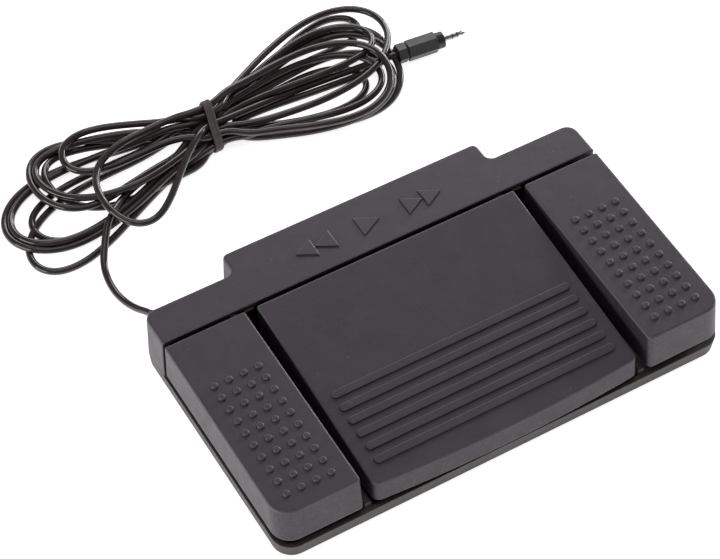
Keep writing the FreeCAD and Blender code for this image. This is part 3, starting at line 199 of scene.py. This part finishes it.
def moulded_plastic(name, base, worn_and_highlight_colour, roughness, grain=1500.0, grain_depth=0.02, edge=0.35,
                    dust=0.55, reach=6.0, slot_shade=0.25):
    """Spark-textured moulding: fine grain, faint clouding, scuffed walls, dust specks, edges lighter
    with wear and a painted highlight, painted highlights where faces round over, painted shade in
    slots and corners.

    grain_depth, edge (the width of the lighter edges: wear and painted highlight) and reach (of the
    painted shade in slots and corners) are in millimetres.
    """
    look = Look(name, base, roughness)
    edges = look.edges(edge * MM)
    open_air = look.openness(reach * MM)
    clouds = look.span(look.noise(75.0, 5.0, 0.65), 0.35, 0.68, 0.0, 1.0)
    colour = look.blend(clouds, scaled(base, 0.86), scaled(base, 1.24))
    fine = look.noise(grain, 3.0, 0.65)
    colour = look.blend(look.span(fine, 0.35, 0.7, 0.0, 0.55), colour, scaled(base, 1.5))

    # the edges that hands and shoes rub, lighter: partly wear, partly a painted highlight; but not the
    # inner corners
    rubbed_and_highlit = look.maths("MULTIPLY", edges, look.span(look.noise(220.0, 3.0, 0.6), 0.3, 0.7, 0.35, 1.0))
    rubbed_and_highlit = look.maths("MULTIPLY", rubbed_and_highlit, look.span(open_air, 0.72, 0.95, 0.0, 1.0))
    colour = look.blend(rubbed_and_highlit, colour, worn_and_highlight_colour)

    # scuffs, mostly on the walls
    scuffs = look.span(look.noise(950.0, 4.0, 0.75, distortion=0.6), 0.46, 0.66, 0.0, 1.0)
    level = look.levelness()
    scuffs = look.maths("MULTIPLY", scuffs, look.span(level, 0.25, 0.9, 0.55, 0.1))
    colour = look.blend(scuffs, colour, between(base, worn_and_highlight_colour, 0.18))

    # painted highlight: a lighter line where a face rounds over, on ribs and studs too
    rounding_highlight = look.maths("MULTIPLY", look.span(level, 0.99, 0.9, 0.0, 0.75),
                       look.span(level, 0.1, 0.35, 0.0, 1.0))
    colour = look.blend(rounding_highlight, colour, between(base, worn_and_highlight_colour, 0.3))

    # painted shade: darker down in slots and along inner corners, where shade falls
    colour = look.blend(look.span(open_air, 0.1, 0.8, 0.0, 1.0), scaled(base, slot_shade), colour)
    specks = look.maths("MULTIPLY", look.specks(260.0, 0.09),
                        look.span(look.noise(60.0, 1.0), 0.5, 0.62, 0.0, dust))
    look.colour(look.blend(specks, colour, DUST))
    shine = look.span(look.noise(140.0, 5.0, 0.7), 0.32, 0.7, roughness - 0.03, roughness + 0.05)
    look.roughness(look.maths("ADD", shine, look.maths("MULTIPLY", rubbed_and_highlit, -0.12)))
    look.bump(fine, grain_depth * MM)
    look.bump(look.noise(grain * 0.22, 2.0), grain_depth * 1.4 * MM)
    return look.material


def soft_vinyl(name, base, roughness, scuff, grain=900.0, depth=0.012, coat=0.0):
    """A cord jacket, rubber foot or band: cloudy, with scuffs and uneven sheen; coat adds gloss."""
    look = Look(name, base, roughness, Specular_IOR_Level=0.15, Coat_Weight=coat, Coat_Roughness=0.07)
    clouds = look.span(look.noise(120.0, 3.0, 0.6), 0.35, 0.7, 0.0, 1.0)
    colour = look.blend(clouds, scaled(base, 0.8), scaled(base, 1.25))
    marks = look.span(look.noise(520.0, 4.0, 0.7, distortion=0.6), 0.62, 0.78, 0.0, 0.55)
    look.colour(look.blend(marks, colour, scuff))
    look.roughness(look.span(look.noise(300.0, 3.0), 0.3, 0.7, roughness - 0.07, roughness + 0.09))
    look.bump(look.noise(grain, 2.0), depth * MM)
    return look.material


def metal(name, base, roughness, stretch, tarnish, depth=0.004):
    """Plated or drawn metal: fine lines along the stretch, cloudy tarnish in places."""
    look = Look(name, base, roughness, Metallic=1.0)
    lines = look.noise(1800.0, 3.0, 0.6, stretch=stretch)
    clouds = look.span(look.noise(140.0, 3.0, 0.6), 0.42, 0.72, 0.0, 0.6)
    look.colour(look.blend(clouds, base, tarnish))
    look.roughness(look.span(lines, 0.3, 0.7, roughness - 0.06, roughness + 0.1))
    look.bump(lines, depth * MM)
    return look.material


def board_laminate():
    """Phenolic board: brown, with a paper-like mottle and a faint weave under the resin."""
    look = Look("board", (0.1, 0.062, 0.03), 0.42, Coat_Weight=0.2, Coat_Roughness=0.25)
    mottle = look.span(look.noise(420.0, 4.0, 0.7), 0.35, 0.7, 0.0, 1.0)
    fibres = look.span(look.noise(900.0, 2.0, 0.5, stretch=(1, 0.12, 1)), 0.45, 0.7, 0.0, 0.5)
    colour = look.blend(mottle, (0.085, 0.05, 0.022), (0.12, 0.075, 0.036))
    look.colour(look.blend(fibres, colour, (0.15, 0.105, 0.06)))
    look.roughness(look.span(look.noise(200.0), 0.3, 0.7, 0.34, 0.5))
    look.bump(fibres, 0.008 * MM)
    return look.material


def stage_floor():
    look = Look("pale_floor", (0.94, 0.94, 0.94), 0.9, Specular_IOR_Level=0.1)
    clouds = look.span(look.noise(30.0, 3.0), 0.3, 0.7, 0.0, 1.0)
    look.colour(look.blend(clouds, (0.93, 0.93, 0.93), (0.95, 0.95, 0.95)))
    look.shader.inputs["Emission Color"].default_value = (1, 1, 1, 1)
    look.shader.inputs["Emission Strength"].default_value = 0.8
    return look.material


LOOKS = {
    "charcoal_plastic": moulded_plastic(
        "charcoal_plastic", (0.0285, 0.0205, 0.0308), (0.3, 0.29, 0.29), 0.47, edge=0.6),
    "base_plastic": moulded_plastic(
        "base_plastic", (0.05, 0.042, 0.038), (0.2, 0.185, 0.17), 0.55, grain=1300.0, edge=0.6,
        reach=14.0, slot_shade=0.08),
    "steel": metal("steel", (0.56, 0.56, 0.57), 0.3, (0.05, 1, 1), (0.42, 0.41, 0.4)),
    "spring_steel": metal("spring_steel", (0.5, 0.5, 0.5), 0.34, (1, 1, 0.2), (0.36, 0.34, 0.32)),
    "foot_rubber": soft_vinyl("foot_rubber", (0.03, 0.03, 0.032), 0.75, (0.08, 0.08, 0.08)),
    "switch_plastic": moulded_plastic(
        "switch_plastic", (0.022, 0.022, 0.026), (0.07, 0.07, 0.07), 0.4, grain_depth=0.008),
    "plunger_plastic": moulded_plastic(
        "plunger_plastic", (0.55, 0.08, 0.055), (0.7, 0.25, 0.2), 0.35, grain_depth=0.006),
    "board": board_laminate(),
    "cord_jacket": soft_vinyl(
        "cord_jacket", (0.019, 0.0105, 0.0112), 0.55, (0.03, 0.02, 0.021), depth=0.005, coat=1.0),
    "tie_rubber": soft_vinyl(
        "tie_rubber", (0.1, 0.085, 0.085), 0.5, (0.22, 0.205, 0.205), grain=600.0, depth=0.03),
    "plug_plastic": moulded_plastic(
        "plug_plastic", (0.028, 0.026, 0.029), (0.09, 0.088, 0.09), 0.42, grain=1900.0,
        grain_depth=0.01, edge=0.2, dust=0.1),
    "collar_plastic": moulded_plastic(
        "collar_plastic", (0.009, 0.009, 0.01), (0.04, 0.04, 0.04), 0.35, grain_depth=0.006,
        edge=0.15, dust=0.05),
    "plated_contact": metal(
        "plated_contact", (0.4, 0.39, 0.375), 0.12, (0.1, 1, 1), (0.27, 0.26, 0.245), depth=0.002),
    "clamp_nylon": moulded_plastic(
        "clamp_nylon", (0.6, 0.59, 0.55), (0.75, 0.74, 0.7), 0.45, grain_depth=0.01),
    "wire": soft_vinyl("wire", (0.5, 0.1, 0.08), 0.4, (0.6, 0.3, 0.25)),
}

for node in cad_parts.values():
    for place in node.material_slots:
        place.material = LOOKS[place.material.name.split(".")[0]]


# ---------------------------------------------------------------------------
# The cord: one spline from the housing to the plug. Points are in millimetres.
# ---------------------------------------------------------------------------

RADIUS = 1.5
BEND = 9.0  # the jacket resists turning tighter than this radius
EXIT = (-88.0, 17.8, 11.0)

# the hank's waist, where the tie is, and the hank's directions there
WAIST = np.array((-22.0, 106.0))
WAIST_TURN = math.radians(2.4)
ALONG = np.array((math.cos(WAIST_TURN), math.sin(WAIST_TURN)))
ACROSS = np.array((-ALONG[1], ALONG[0]))

# the plug lies at the cord's end and points this way
PLUG_START = np.array((67.6, 104.8, 4.7))
PLUG_TURN = math.radians(-5.6)
PLUG_WAY = np.array((math.cos(PLUG_TURN), math.sin(PLUG_TURN), 0.0))
PLUG_RADIUS = 4.5

# from the strain relief down to the floor, and up onto the hank
LEAD = [
    (-88.0, 17.8, 11.0), (-88.0, 23.5, 10.8), (-88.1, 28.5, 9.9), (-88.9, 32.5, 8.0),
    (-90.6, 37.3, 5.4), (-92.2, 43.8, 3.0), (-93.2, 51.0, 1.7), (-93.0, 58.5, 1.6),
    (-91.4, 65.6, 2.4), (-88.1, 71.3, 4.4), (-84.2, 77.0, 5.4), (-79.6, 82.2, 5.4),
    (-67.4, 92.4, 5.0), (-46.0, 100.2, 4.0),
]
# from the tie's last pass to the plug
TAIL = [(0.0, 107.5, 7.5), (22.0, 108.6, 5.0), (46.0, 106.6, 4.7), (58.0, 105.7, 4.7),
        (67.6, 104.8, 4.7)]
# each turn of the hank: tip x and y, half width, how far the width sits towards the tip,
# sideways bend, height where it leaves the waist, height at the tip
LEFT_TURNS = [
    (-98.9, 117.2, 23.2, 2.1, 3.6, 7.0, 6.0),
    (-93.0, 115.6, 18.6, 1.3, 5.4, 4.4, 4.4),
    (-96.0, 118.6, 17.2, 1.1, 6.0, 7.2, 6.4),
    (-117.9, 97.7, 21.4, 1.4, -0.9, 4.4, 4.2),
    (-114.7, 79.2, 18.4, 1.9, -4.6, 1.6, 1.6),
    (-116.3, 96.6, 20.0, 1.4, -1.2, 4.4, 4.4),
    (-107.5, 94.5, 15.5, 1.5, 0.0, 1.7, 1.6),
    (-84.0, 119.6, 12.6, 1.8, -1.9, 9.0, 8.6),
    (-76.5, 77.2, 19.1, 1.4, -8.8, 12.0, 10.0),
]
RIGHT_TURNS = [
    (68.0, 107.0, 26.0, 1.5, -0.5, 4.4, 4.4),
    (68.5, 117.5, 17.5, 2.0, 5.0, 4.4, 4.4),
    (71.5, 132.0, 14.5, 4.4, 8.5, 1.7, 3.6),
    (51.0, 102.5, 13.6, 1.6, 0.8, 1.6, 1.6),
    (62.5, 101.5, 20.5, 1.3, -2.5, 4.4, 4.4),
    (57.0, 100.5, 16.6, 1.1, 1.4, 7.2, 7.0),
    (64.6, 119.3, 15.0, 2.1, 5.7, 7.2, 7.2),
    (71.7, 128.5, 22.0, 1.1, -3.8, 8.6, 6.4),
    (59.7, 99.1, 21.9, 1.1, -0.2, 9.8, 8.6),
]
# where each pass goes through the tie: across the hank, and height
PASSES_LEFT = [(3, 2.8), (6, 2.8), (1.5, 5.3), (4.5, 5.3), (7.5, 5.3),
               (3, 7.8), (6, 7.8), (1.5, 10.3), (4.5, 10.3)]
PASSES_RIGHT = [(0, 2.8), (-3, 2.8), (-6, 2.8), (-1.5, 5.3), (-4.5, 5.3), (-7.5, 5.3),
                (0, 7.8), (-3, 7.8), (-6, 7.8), (-1.5, 10.3)]
PASS_HALF = 5.0  # how far each side of the waist a pass runs straight
TURN_ANGLES = (46, 66, 88, 112, 134, 157, 180, 203, 226, 248, 272, 294, 314)  # the tip is at 180
DROP_PEAK = 0.77  # about the most that sin(a) * sin(a / 2) ** swell comes to
LEAVING = 0.4  # the share of a turn's reach over which it spreads from its place in the tie


def ease(x):
    """A smooth step from 0 to 1 as x goes from 0 to 1."""
    x = min(max(x, 0.0), 1.0)
    return x * x * (3 - 2 * x)


def turn(shape, coming, going):
    """The points of one drop-shaped turn that starts and ends at the hank's waist."""
    tip, (half, swell, bend, middle, end) = np.array(shape[:2]), shape[2:]
    way = tip - WAIST
    reach = np.linalg.norm(way)
    way /= reach
    side = np.array((-way[1], way[0]))
    points = []
    for angle in TURN_ANGLES:
        a = math.radians(angle)
        out = (1 - math.cos(a)) / 2
        off = (-half * math.sin(a) * math.sin(a / 2) ** swell / DROP_PEAK
               + bend * 4 * out * (1 - out))
        across, height = coming if angle < 180 else going
        free = ease(out / LEAVING)
        spot = WAIST + ACROSS * across * (1 - free) + way * reach * out + side * off
        rise = middle + (end - middle) * ease((out - LEAVING) / (1 - LEAVING))
        points.append((*spot, height * (1 - free) + free * rise))
    return points


def tie_pass(spot, way):
    """Two points that carry the cord straight through the tie."""
    across, height = spot
    return [(*(WAIST + ALONG * s * way + ACROSS * across), height) for s in (-PASS_HALF, PASS_HALF)]


def hank_points():
    """Control points of the whole cord, before its turns settle on each other."""
    points = LEAD + tie_pass(PASSES_RIGHT[0], 1)
    for k in range(len(LEFT_TURNS)):
        points += turn(RIGHT_TURNS[k], PASSES_RIGHT[k], PASSES_LEFT[k])
        points += tie_pass(PASSES_LEFT[k], -1)
        points += turn(LEFT_TURNS[k], PASSES_LEFT[k], PASSES_RIGHT[k + 1])
        points += tie_pass(PASSES_RIGHT[k + 1], 1)
    return np.array(points + TAIL)


# The quadratic spline, worked out at SHARE spots between each two knots
SHARE = 6
PARTS = np.arange(SHARE)[:, None] / SHARE
WEIGHTS = np.hstack([(1 - PARTS) ** 2 / 2, 0.5 + PARTS - PARTS * PARTS, PARTS ** 2 / 2])


def smooth_line(points):
    """Points along the quadratic spline with these control points."""
    runs = len(points) - 2
    line = sum(WEIGHTS[None, :, k, None] * points[k:k + runs, None, :] for k in range(3))
    return line.reshape(-1, 3)


def shared_back(moves, count):
    """How much each control point takes of the moves asked for along the spline."""
    runs = count - 2
    taken = np.zeros((count, moves.shape[1]))
    moves = moves.reshape(runs, SHARE, -1)
    for k in range(3):
        taken[k:k + runs] += (WEIGHTS[None, :, k, None] * moves).sum(axis=1)
    return taken


def arc_lengths(path):
    """How far along the path each of its points is."""
    return np.concatenate([[0], np.cumsum(np.linalg.norm(np.diff(path, axis=0), axis=1))])


LOOSE_LEAD = 5  # the lead's last points, which may move
FIXED_END = 3  # the last points before the plug, which may not
TIE_ZONE = 9.0  # each side of the waist, where the strands lie on the tie's band
ON_FLOOR, ON_BAND = RADIUS + 0.05, 2.75  # lowest middle of a strand
SAME_STRAND = 10.0  # spots nearer than this along the cord don't push each other
PLUG_SPOTS = np.arange(4.2, 20.0, 1.5)  # along the plug's body, which the strands keep clear of
PLUG_LEAD = 25.0  # the end of the cord, which the plug doesn't push
CLIMB = 1.6  # strands sooner climb over each other than spread
STEP = 1.5  # how much of the moves asked for is made in a round
KEEP_BENDS, UNBEND, KEEP_PLACE, SINK = 0.06, 0.6, 0.03, 0.02  # in a round
TINY = 1e-6
SETTLE_ROUNDS, QUICK_ROUNDS = 70, 12


def settle(points, rounds):
    """Lets the turns push each other aside until they lie beside and on each other."""
    home, points = points.copy(), points.copy()
    count = len(points)
    free = np.ones((count, 1))
    free[:len(LEAD) - LOOSE_LEAD] = 0
    free[-FIXED_END:] = 0
    along = (points[:, :2] - WAIST) @ ALONG
    lowest = np.where(np.abs(along) < TIE_ZONE, ON_BAND, ON_FLOOR)
    lowest[:len(LEAD)] = ON_FLOOR
    weight = shared_back(np.ones(((count - 2) * SHARE, 1)), count)
    arc = arc_lengths(smooth_line(points))
    rows = np.arange(len(arc))
    apart = np.abs(arc[None, :] - arc[:, None]) > SAME_STRAND
    body = np.array([PLUG_START + PLUG_WAY * s for s in PLUG_SPOTS])
    for _ in range(rounds):
        # strands that are too near push each other apart
        line = smooth_line(points)
        gap = line[:, None, :] - line[None, :, :]
        size = np.sqrt((gap ** 2).sum(axis=2))
        a, b = np.where((size < 2 * RADIUS) & apart & (arc[None, :] > arc[:, None]))
        lack = (2 * RADIUS - size[a, b])[:, None]
        push = gap[a, b] / np.maximum(size[a, b], TINY)[:, None]
        push[:, 2] *= CLIMB
        push *= lack / 2
        move, met = np.zeros_like(line), np.zeros((len(line), 1))
        for index, sign in ((a, 1), (b, -1)):
            np.add.at(move, index, sign * push)
            np.add.at(met, index, 1)
        move /= np.maximum(met, 1)

        # and the plug's body pushes them away
        clear = line[:, None, :] - body[None, :, :]
        room = np.sqrt((clear ** 2).sum(axis=2))
        near = room.argmin(axis=1)
        short = PLUG_RADIUS + RADIUS - room[rows, near]
        short[arc > arc[-1] - PLUG_LEAD] = 0
        move += np.maximum(short, 0)[:, None] * clear[rows, near] / room[rows, near][:, None]
        points += shared_back(move, count) / weight * STEP * free

        # the jacket's stiffness: keep the bends it had, and open the tight ones
        bent = (points[:-2] + points[2:] - home[:-2] - home[2:]) / 2 - (points[1:-1] - home[1:-1])
        points[1:-1] += KEEP_BENDS * free[1:-1] * bent
        middle = (points[:-2] + points[2:]) / 2 - points[1:-1]
        reach = np.linalg.norm(points[2:] - points[:-2], axis=1)[:, None] / 2
        sharp = np.linalg.norm(middle, axis=1)[:, None]
        tight = np.maximum(1 - reach ** 2 / (2 * BEND) / np.maximum(sharp, TINY), 0)
        points[1:-1] += UNBEND * free[1:-1] * middle * tight

        # stay near home in plan, and come down under gravity as far as the floor
        points[:, :2] += KEEP_PLACE * free * (home - points)[:, :2]
        points[:, 2] -= SINK * free[:, 0] * (points[:, 2] > lowest)
        points[:, 2] = np.where(free[:, 0] > 0, np.maximum(points[:, 2], lowest), points[:, 2])
    return points


def linked(name, data):
    obj = bpy.data.objects.new(name, data)
    bpy.context.scene.collection.objects.link(obj)
    return obj


def spline_object(name, route, thickness):
    """A quadratic NURBS curve with these control points."""
    curve = bpy.data.curves.new(name, "CURVE")
    curve.dimensions = "3D"
    spline = curve.splines.new("NURBS")
    spline.points.add(len(route) - 1)
    for point, spot in zip(spline.points, route):
        point.co = (*(float(v) * MM for v in spot), 1.0)
    spline.order_u = 3
    spline.use_endpoint_u = True
    spline.resolution_u = 6
    curve.bevel_depth = thickness
    curve.bevel_resolution = 5
    curve.use_fill_caps = True
    return linked(name, curve)


def centre_line(route):
    """The spline's own line, read back from Blender, in millimetres."""
    bare = spline_object("route", route, 0.0)
    mesh = bpy.data.meshes.new_from_object(bare)
    line = np.array([v.co for v in mesh.vertices]) / MM
    bpy.data.objects.remove(bare)
    return line


def mesh_object(name, verts, faces, look):
    mesh = bpy.data.meshes.new(name)
    mesh.from_pydata([tuple(float(c) * MM for c in v) for v in verts], [], faces)
    mesh.validate()
    mesh.update()
    for face in mesh.polygons:
        face.use_smooth = True
    mesh.materials.append(LOOKS[look])
    return linked(name, mesh)


def rings_to_mesh(rings, closed_rows=False):
    """Quads between rings of equal size.

    closed_rows joins the last ring to the first; otherwise both ends are capped.
    """
    size = len(rings[0])
    verts = [tuple(p) for ring in rings for p in ring]
    faces = []
    last = len(rings) if closed_rows else len(rings) - 1
    for i in range(last):
        a, b = i * size, (i + 1) % len(rings) * size
        for j in range(size):
            k = (j + 1) % size
            faces.append((a + j, a + k, b + k, b + j))
    if not closed_rows:
        faces.append(tuple(reversed(range(size))))
        faces.append(tuple(range((len(rings) - 1) * size, len(rings) * size)))
    return verts, faces


points = settle(hank_points(), SETTLE_ROUNDS)
cord = spline_object("cord_line", points, RADIUS * MM)
cord.data.materials.append(LOOKS["cord_jacket"])
line = centre_line(points)


def resampled(path, step):
    """Points at even distances along the path."""
    arc = arc_lengths(path)
    spots = np.arange(0, arc[-1], step)
    return np.stack([np.interp(spots, arc, path[:, k]) for k in range(3)], axis=1)


# The strain relief, in millimetres: its radii, and distances out from the wall's outer face
WALL = 2.2
FLANGE_RADIUS, NECK_RADIUS, SHOULDER_RADIUS = 3.5, 2.6, 3.15
SHOULDER = 1.4
TAPER_WIDE, TAPER_NARROW, TAPER = 3.1, 1.95, 10.2
RIB_PITCH, RIB_WIDTH, GROOVE = 1.8, 1.15, 0.42
BOOT_END = 11.6
BOOT_LIP = ((1.7, 0.1), (1.52, 0.12))  # radius, and how far past the ring before
BOOT_SIDES = 32
BOOT_STEP = 0.25
BOOT_LINE = 40  # more points of the cord's line than the boot covers


def boot_radius(out):
    """The boot's radius at this distance out from the wall; the wall itself is below 0."""
    if out < -WALL:
        return FLANGE_RADIUS
    if out < 0:
        return NECK_RADIUS
    if out < SHOULDER:
        return SHOULDER_RADIUS
    radius = TAPER_WIDE + (TAPER_NARROW - TAPER_WIDE) * (out - SHOULDER) / TAPER
    if out < TAPER and (out - SHOULDER) % RIB_PITCH > RIB_WIDTH:
        radius -= GROOVE
    return float(radius)


def strain_relief():
    """A tapered, ribbed boot that bends with the cord, its flange inside the wall."""
    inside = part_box("strain_relief")[0].y / MM
    start = np.array(EXIT)
    before = [start + (0, y - start[1], 0) for y in np.arange(inside, start[1] - 0.05, BOOT_STEP)]
    path = np.vstack([before, resampled(line[:BOOT_LINE], BOOT_STEP)])
    out = arc_lengths(path) - (start[1] - inside)
    spots = path[out <= BOOT_END]
    ways = np.gradient(spots, axis=0)
    rings = []
    for p, way, distance in zip(spots, ways, out):
        radius = boot_radius(distance)
        way = Vector(way).normalized()
        side = way.cross(Vector((0, 0, 1))).normalized()
        up = side.cross(way)
        rings.append([Vector(p) + radius * (math.cos(a) * side + math.sin(a) * up)
                      for a in np.linspace(0, 2 * math.pi, BOOT_SIDES + 1)[:-1]])
    end_way = Vector(ways[-1]).normalized()
    for radius, ahead in BOOT_LIP:
        centre = sum(rings[-1], Vector()) / BOOT_SIDES
        rings.append([centre + (q - centre).normalized() * radius + end_way * ahead
                      for q in rings[-1]])
    return mesh_object("strain_relief_boot", *rings_to_mesh(rings), "cord_jacket")


def hull(flat):
    """Convex outline of points in a plane, counterclockwise."""
    flat = sorted(map(tuple, flat))
    outline = []
    for sweep in (flat, flat[::-1]):
        part = []
        for p in sweep:
            while len(part) > 1 and ((part[-1][0] - part[-2][0]) * (p[1] - part[-2][1])
                                     - (part[-1][1] - part[-2][1]) * (p[0] - part[-2][0])) <= 0:
                part.pop()
            part.append(p)
        outline += part[:-1]
    return np.array(outline)


# The tie, in millimetres
TIE_HALF, TIE_THICK = 1.8, 1.05
TIE_INSIDE = [(1.8, 0.55), (1.7, 0.1), (0, 0.0), (-1.7, 0.1), (-1.8, 0.55)]
TIE_REACH = 1.62  # from a strand's middle to the inside of the band
TIE_SPOTS = 144  # round the loop
HANK_HALF = 20.0  # strands further than this from the waist aren't in the tie
HANK_WIDTH = 15.5
TIE_SKEW, LEAN_ABOVE, LEAN_BELOW = -1.1, 2.9, 2.2  # the band crosses the hank at a slant
UPPER_SIDE = 0.45  # the share of the band's height above which it is the upper side
FOLD = 1.5  # the crease's middle, in from the front edge and down from the top
FOLD_ACROSS, FOLD_DOWN = 1.4, 2.2  # how far the crease reaches
FOLD_NARROWS, FOLD_SWELLS, FOLD_WAVE = 0.2, 0.25, 3.2
TIE_LOWEST = 0.02


def tie_loop():
    """The band's inner line round the strands at the waist: across the hank, and height."""
    along = (line[:, :2] - WAIST) @ ALONG
    across = (line[:, :2] - WAIST) @ ACROSS
    circle = np.linspace(0, 2 * math.pi, 25)[:-1]
    spots = []
    for i in np.where(np.diff(np.sign(along)) != 0)[0]:
        share = along[i] / (along[i] - along[i + 1])
        a = across[i] + share * (across[i + 1] - across[i])
        z = line[i, 2] + share * (line[i + 1, 2] - line[i, 2])
        if abs(a) < HANK_HALF:
            spots += [(a + TIE_REACH * math.cos(t), z + TIE_REACH * math.sin(t)) for t in circle]
    outline = hull(spots)
    closed = np.vstack([outline, outline[:1]])
    arc = arc_lengths(closed)
    steps = np.linspace(0, arc[-1], TIE_SPOTS + 1)[:-1]
    loop = np.stack([np.interp(steps, arc, closed[:, k]) for k in range(2)], axis=1)
    for _ in range(6):
        loop = (np.roll(loop, 1, axis=0) + 2 * loop + np.roll(loop, -1, axis=0)) / 4
    return loop


def tie_section():
    """The band's cross-section: along the hank, and out from the strands; a groove runs in it."""
    section = []
    for w in np.linspace(-1, 1, 13):
        groove = 0.22 * math.exp(-((w - 0.12) / 0.12) ** 2)
        section.append((w * TIE_HALF, TIE_THICK - 0.16 * abs(w) ** 5 - groove))
    return section + TIE_INSIDE


def cord_tie():
    """A rubber band stretched round the strands, with a crease where it folds over their edge."""
    loop = tie_loop()
    ways = np.roll(loop, -1, axis=0) - np.roll(loop, 1, axis=0)
    out = np.stack([ways[:, 1], -ways[:, 0]], axis=1)
    out /= np.linalg.norm(out, axis=1)[:, None]
    front = loop[:, 0].min()
    top = loop[:, 1].max()
    rings = []
    for (a, z), n in zip(loop, out):
        fold = math.exp(-(((a - front - FOLD) / FOLD_ACROSS) ** 2
                          + ((z - top + FOLD) / FOLD_DOWN) ** 2))
        lean = LEAN_ABOVE if z > UPPER_SIDE * top else LEAN_BELOW
        skew = TIE_SKEW + lean * ease((a - front) / HANK_WIDTH)
        ring = []
        for w, t in tie_section():
            width = w * (1 - FOLD_NARROWS * fold)
            thick = t * (1 + FOLD_SWELLS * fold * math.cos(w * FOLD_WAVE))
            spot = WAIST + ALONG * (width + skew) + ACROSS * (a + n[0] * thick)
            ring.append((*spot, max(z + n[1] * thick, TIE_LOWEST)))
        rings.append(ring)
    return mesh_object("tie_band", *rings_to_mesh(rings, closed_rows=True), "tie_rubber")


boot = strain_relief()
tie = cord_tie()

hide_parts("cord", "cord_hank")
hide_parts("strain_relief")
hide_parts("cord_tie")
for piece, finish in ((cord, "cord_jacket"), (boot, "cord_jacket"), (tie, "tie_rubber")):
    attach(piece, "chassis")


# ---------------------------------------------------------------------------
# The pedals' return springs: copies of their coils, fixed to the chassis
# ---------------------------------------------------------------------------

for side, node_name in (("left", "left_return_spring"), ("centre", "centre_return_springs"),
                        ("right", "right_return_spring")):
    coils = linked(side + "_spring_coils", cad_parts[node_name].data.copy())
    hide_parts(node_name)
    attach(coils, "chassis")
    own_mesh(coils)


# ---------------------------------------------------------------------------
# Stage, light and camera
# ---------------------------------------------------------------------------

bpy.ops.mesh.primitive_plane_add(size=6)
floor = bpy.context.object
floor.name = "floor"
floor.data.materials.append(stage_floor())

world = bpy.data.worlds.new("studio")
bpy.context.scene.world = world
world.use_nodes = True
sky = world.node_tree.nodes["Background"].inputs
sky["Color"].default_value = (1.0, 1.0, 1.0, 1)
sky["Strength"].default_value = 0.22


def softbox(name, spot, aim, width, height, power):
    """A lamp of this size in metres and power in watts, at spot, turned to aim."""
    light = bpy.data.lights.new(name, "AREA")
    light.shape = "RECTANGLE"
    light.size, light.size_y, light.energy = width, height, power
    obj = linked(name, light)
    obj.location = spot
    obj.rotation_euler = (Vector(aim) - Vector(spot)).to_track_quat("-Z", "Y").to_euler()


softbox("overhead", (-0.1, 0.0, 1.3), (0, 0, 0), 1.0, 1.0, 3.8)
softbox("back", (0.62, 1.05, 0.8), (0, 0.02, 0.01), 1.0, 0.5, 7)
softbox("left", (-1.25, -0.1, 0.3), (0, 0, 0.01), 0.9, 0.4, 7.3)
softbox("right", (1.2, 0.5, 0.28), (0, 0.06, 0.01), 0.9, 0.14, 9)

# fitted to the straight edges of the housing and pedals in the photograph
camera_data = bpy.data.cameras.new("photo_camera")
camera_data.lens = 124.0
camera_data.sensor_width = 36.0
camera = linked("photo_camera", camera_data)
camera.location = (-0.31707, -0.52253, 0.76670)
aim = Vector((-0.00599, 0.00996, 0.0))
camera.rotation_euler = (aim - camera.location).to_track_quat("-Z", "Y").to_euler()
bpy.context.scene.camera = camera
bpy.context.scene.view_settings.view_transform = "Standard"
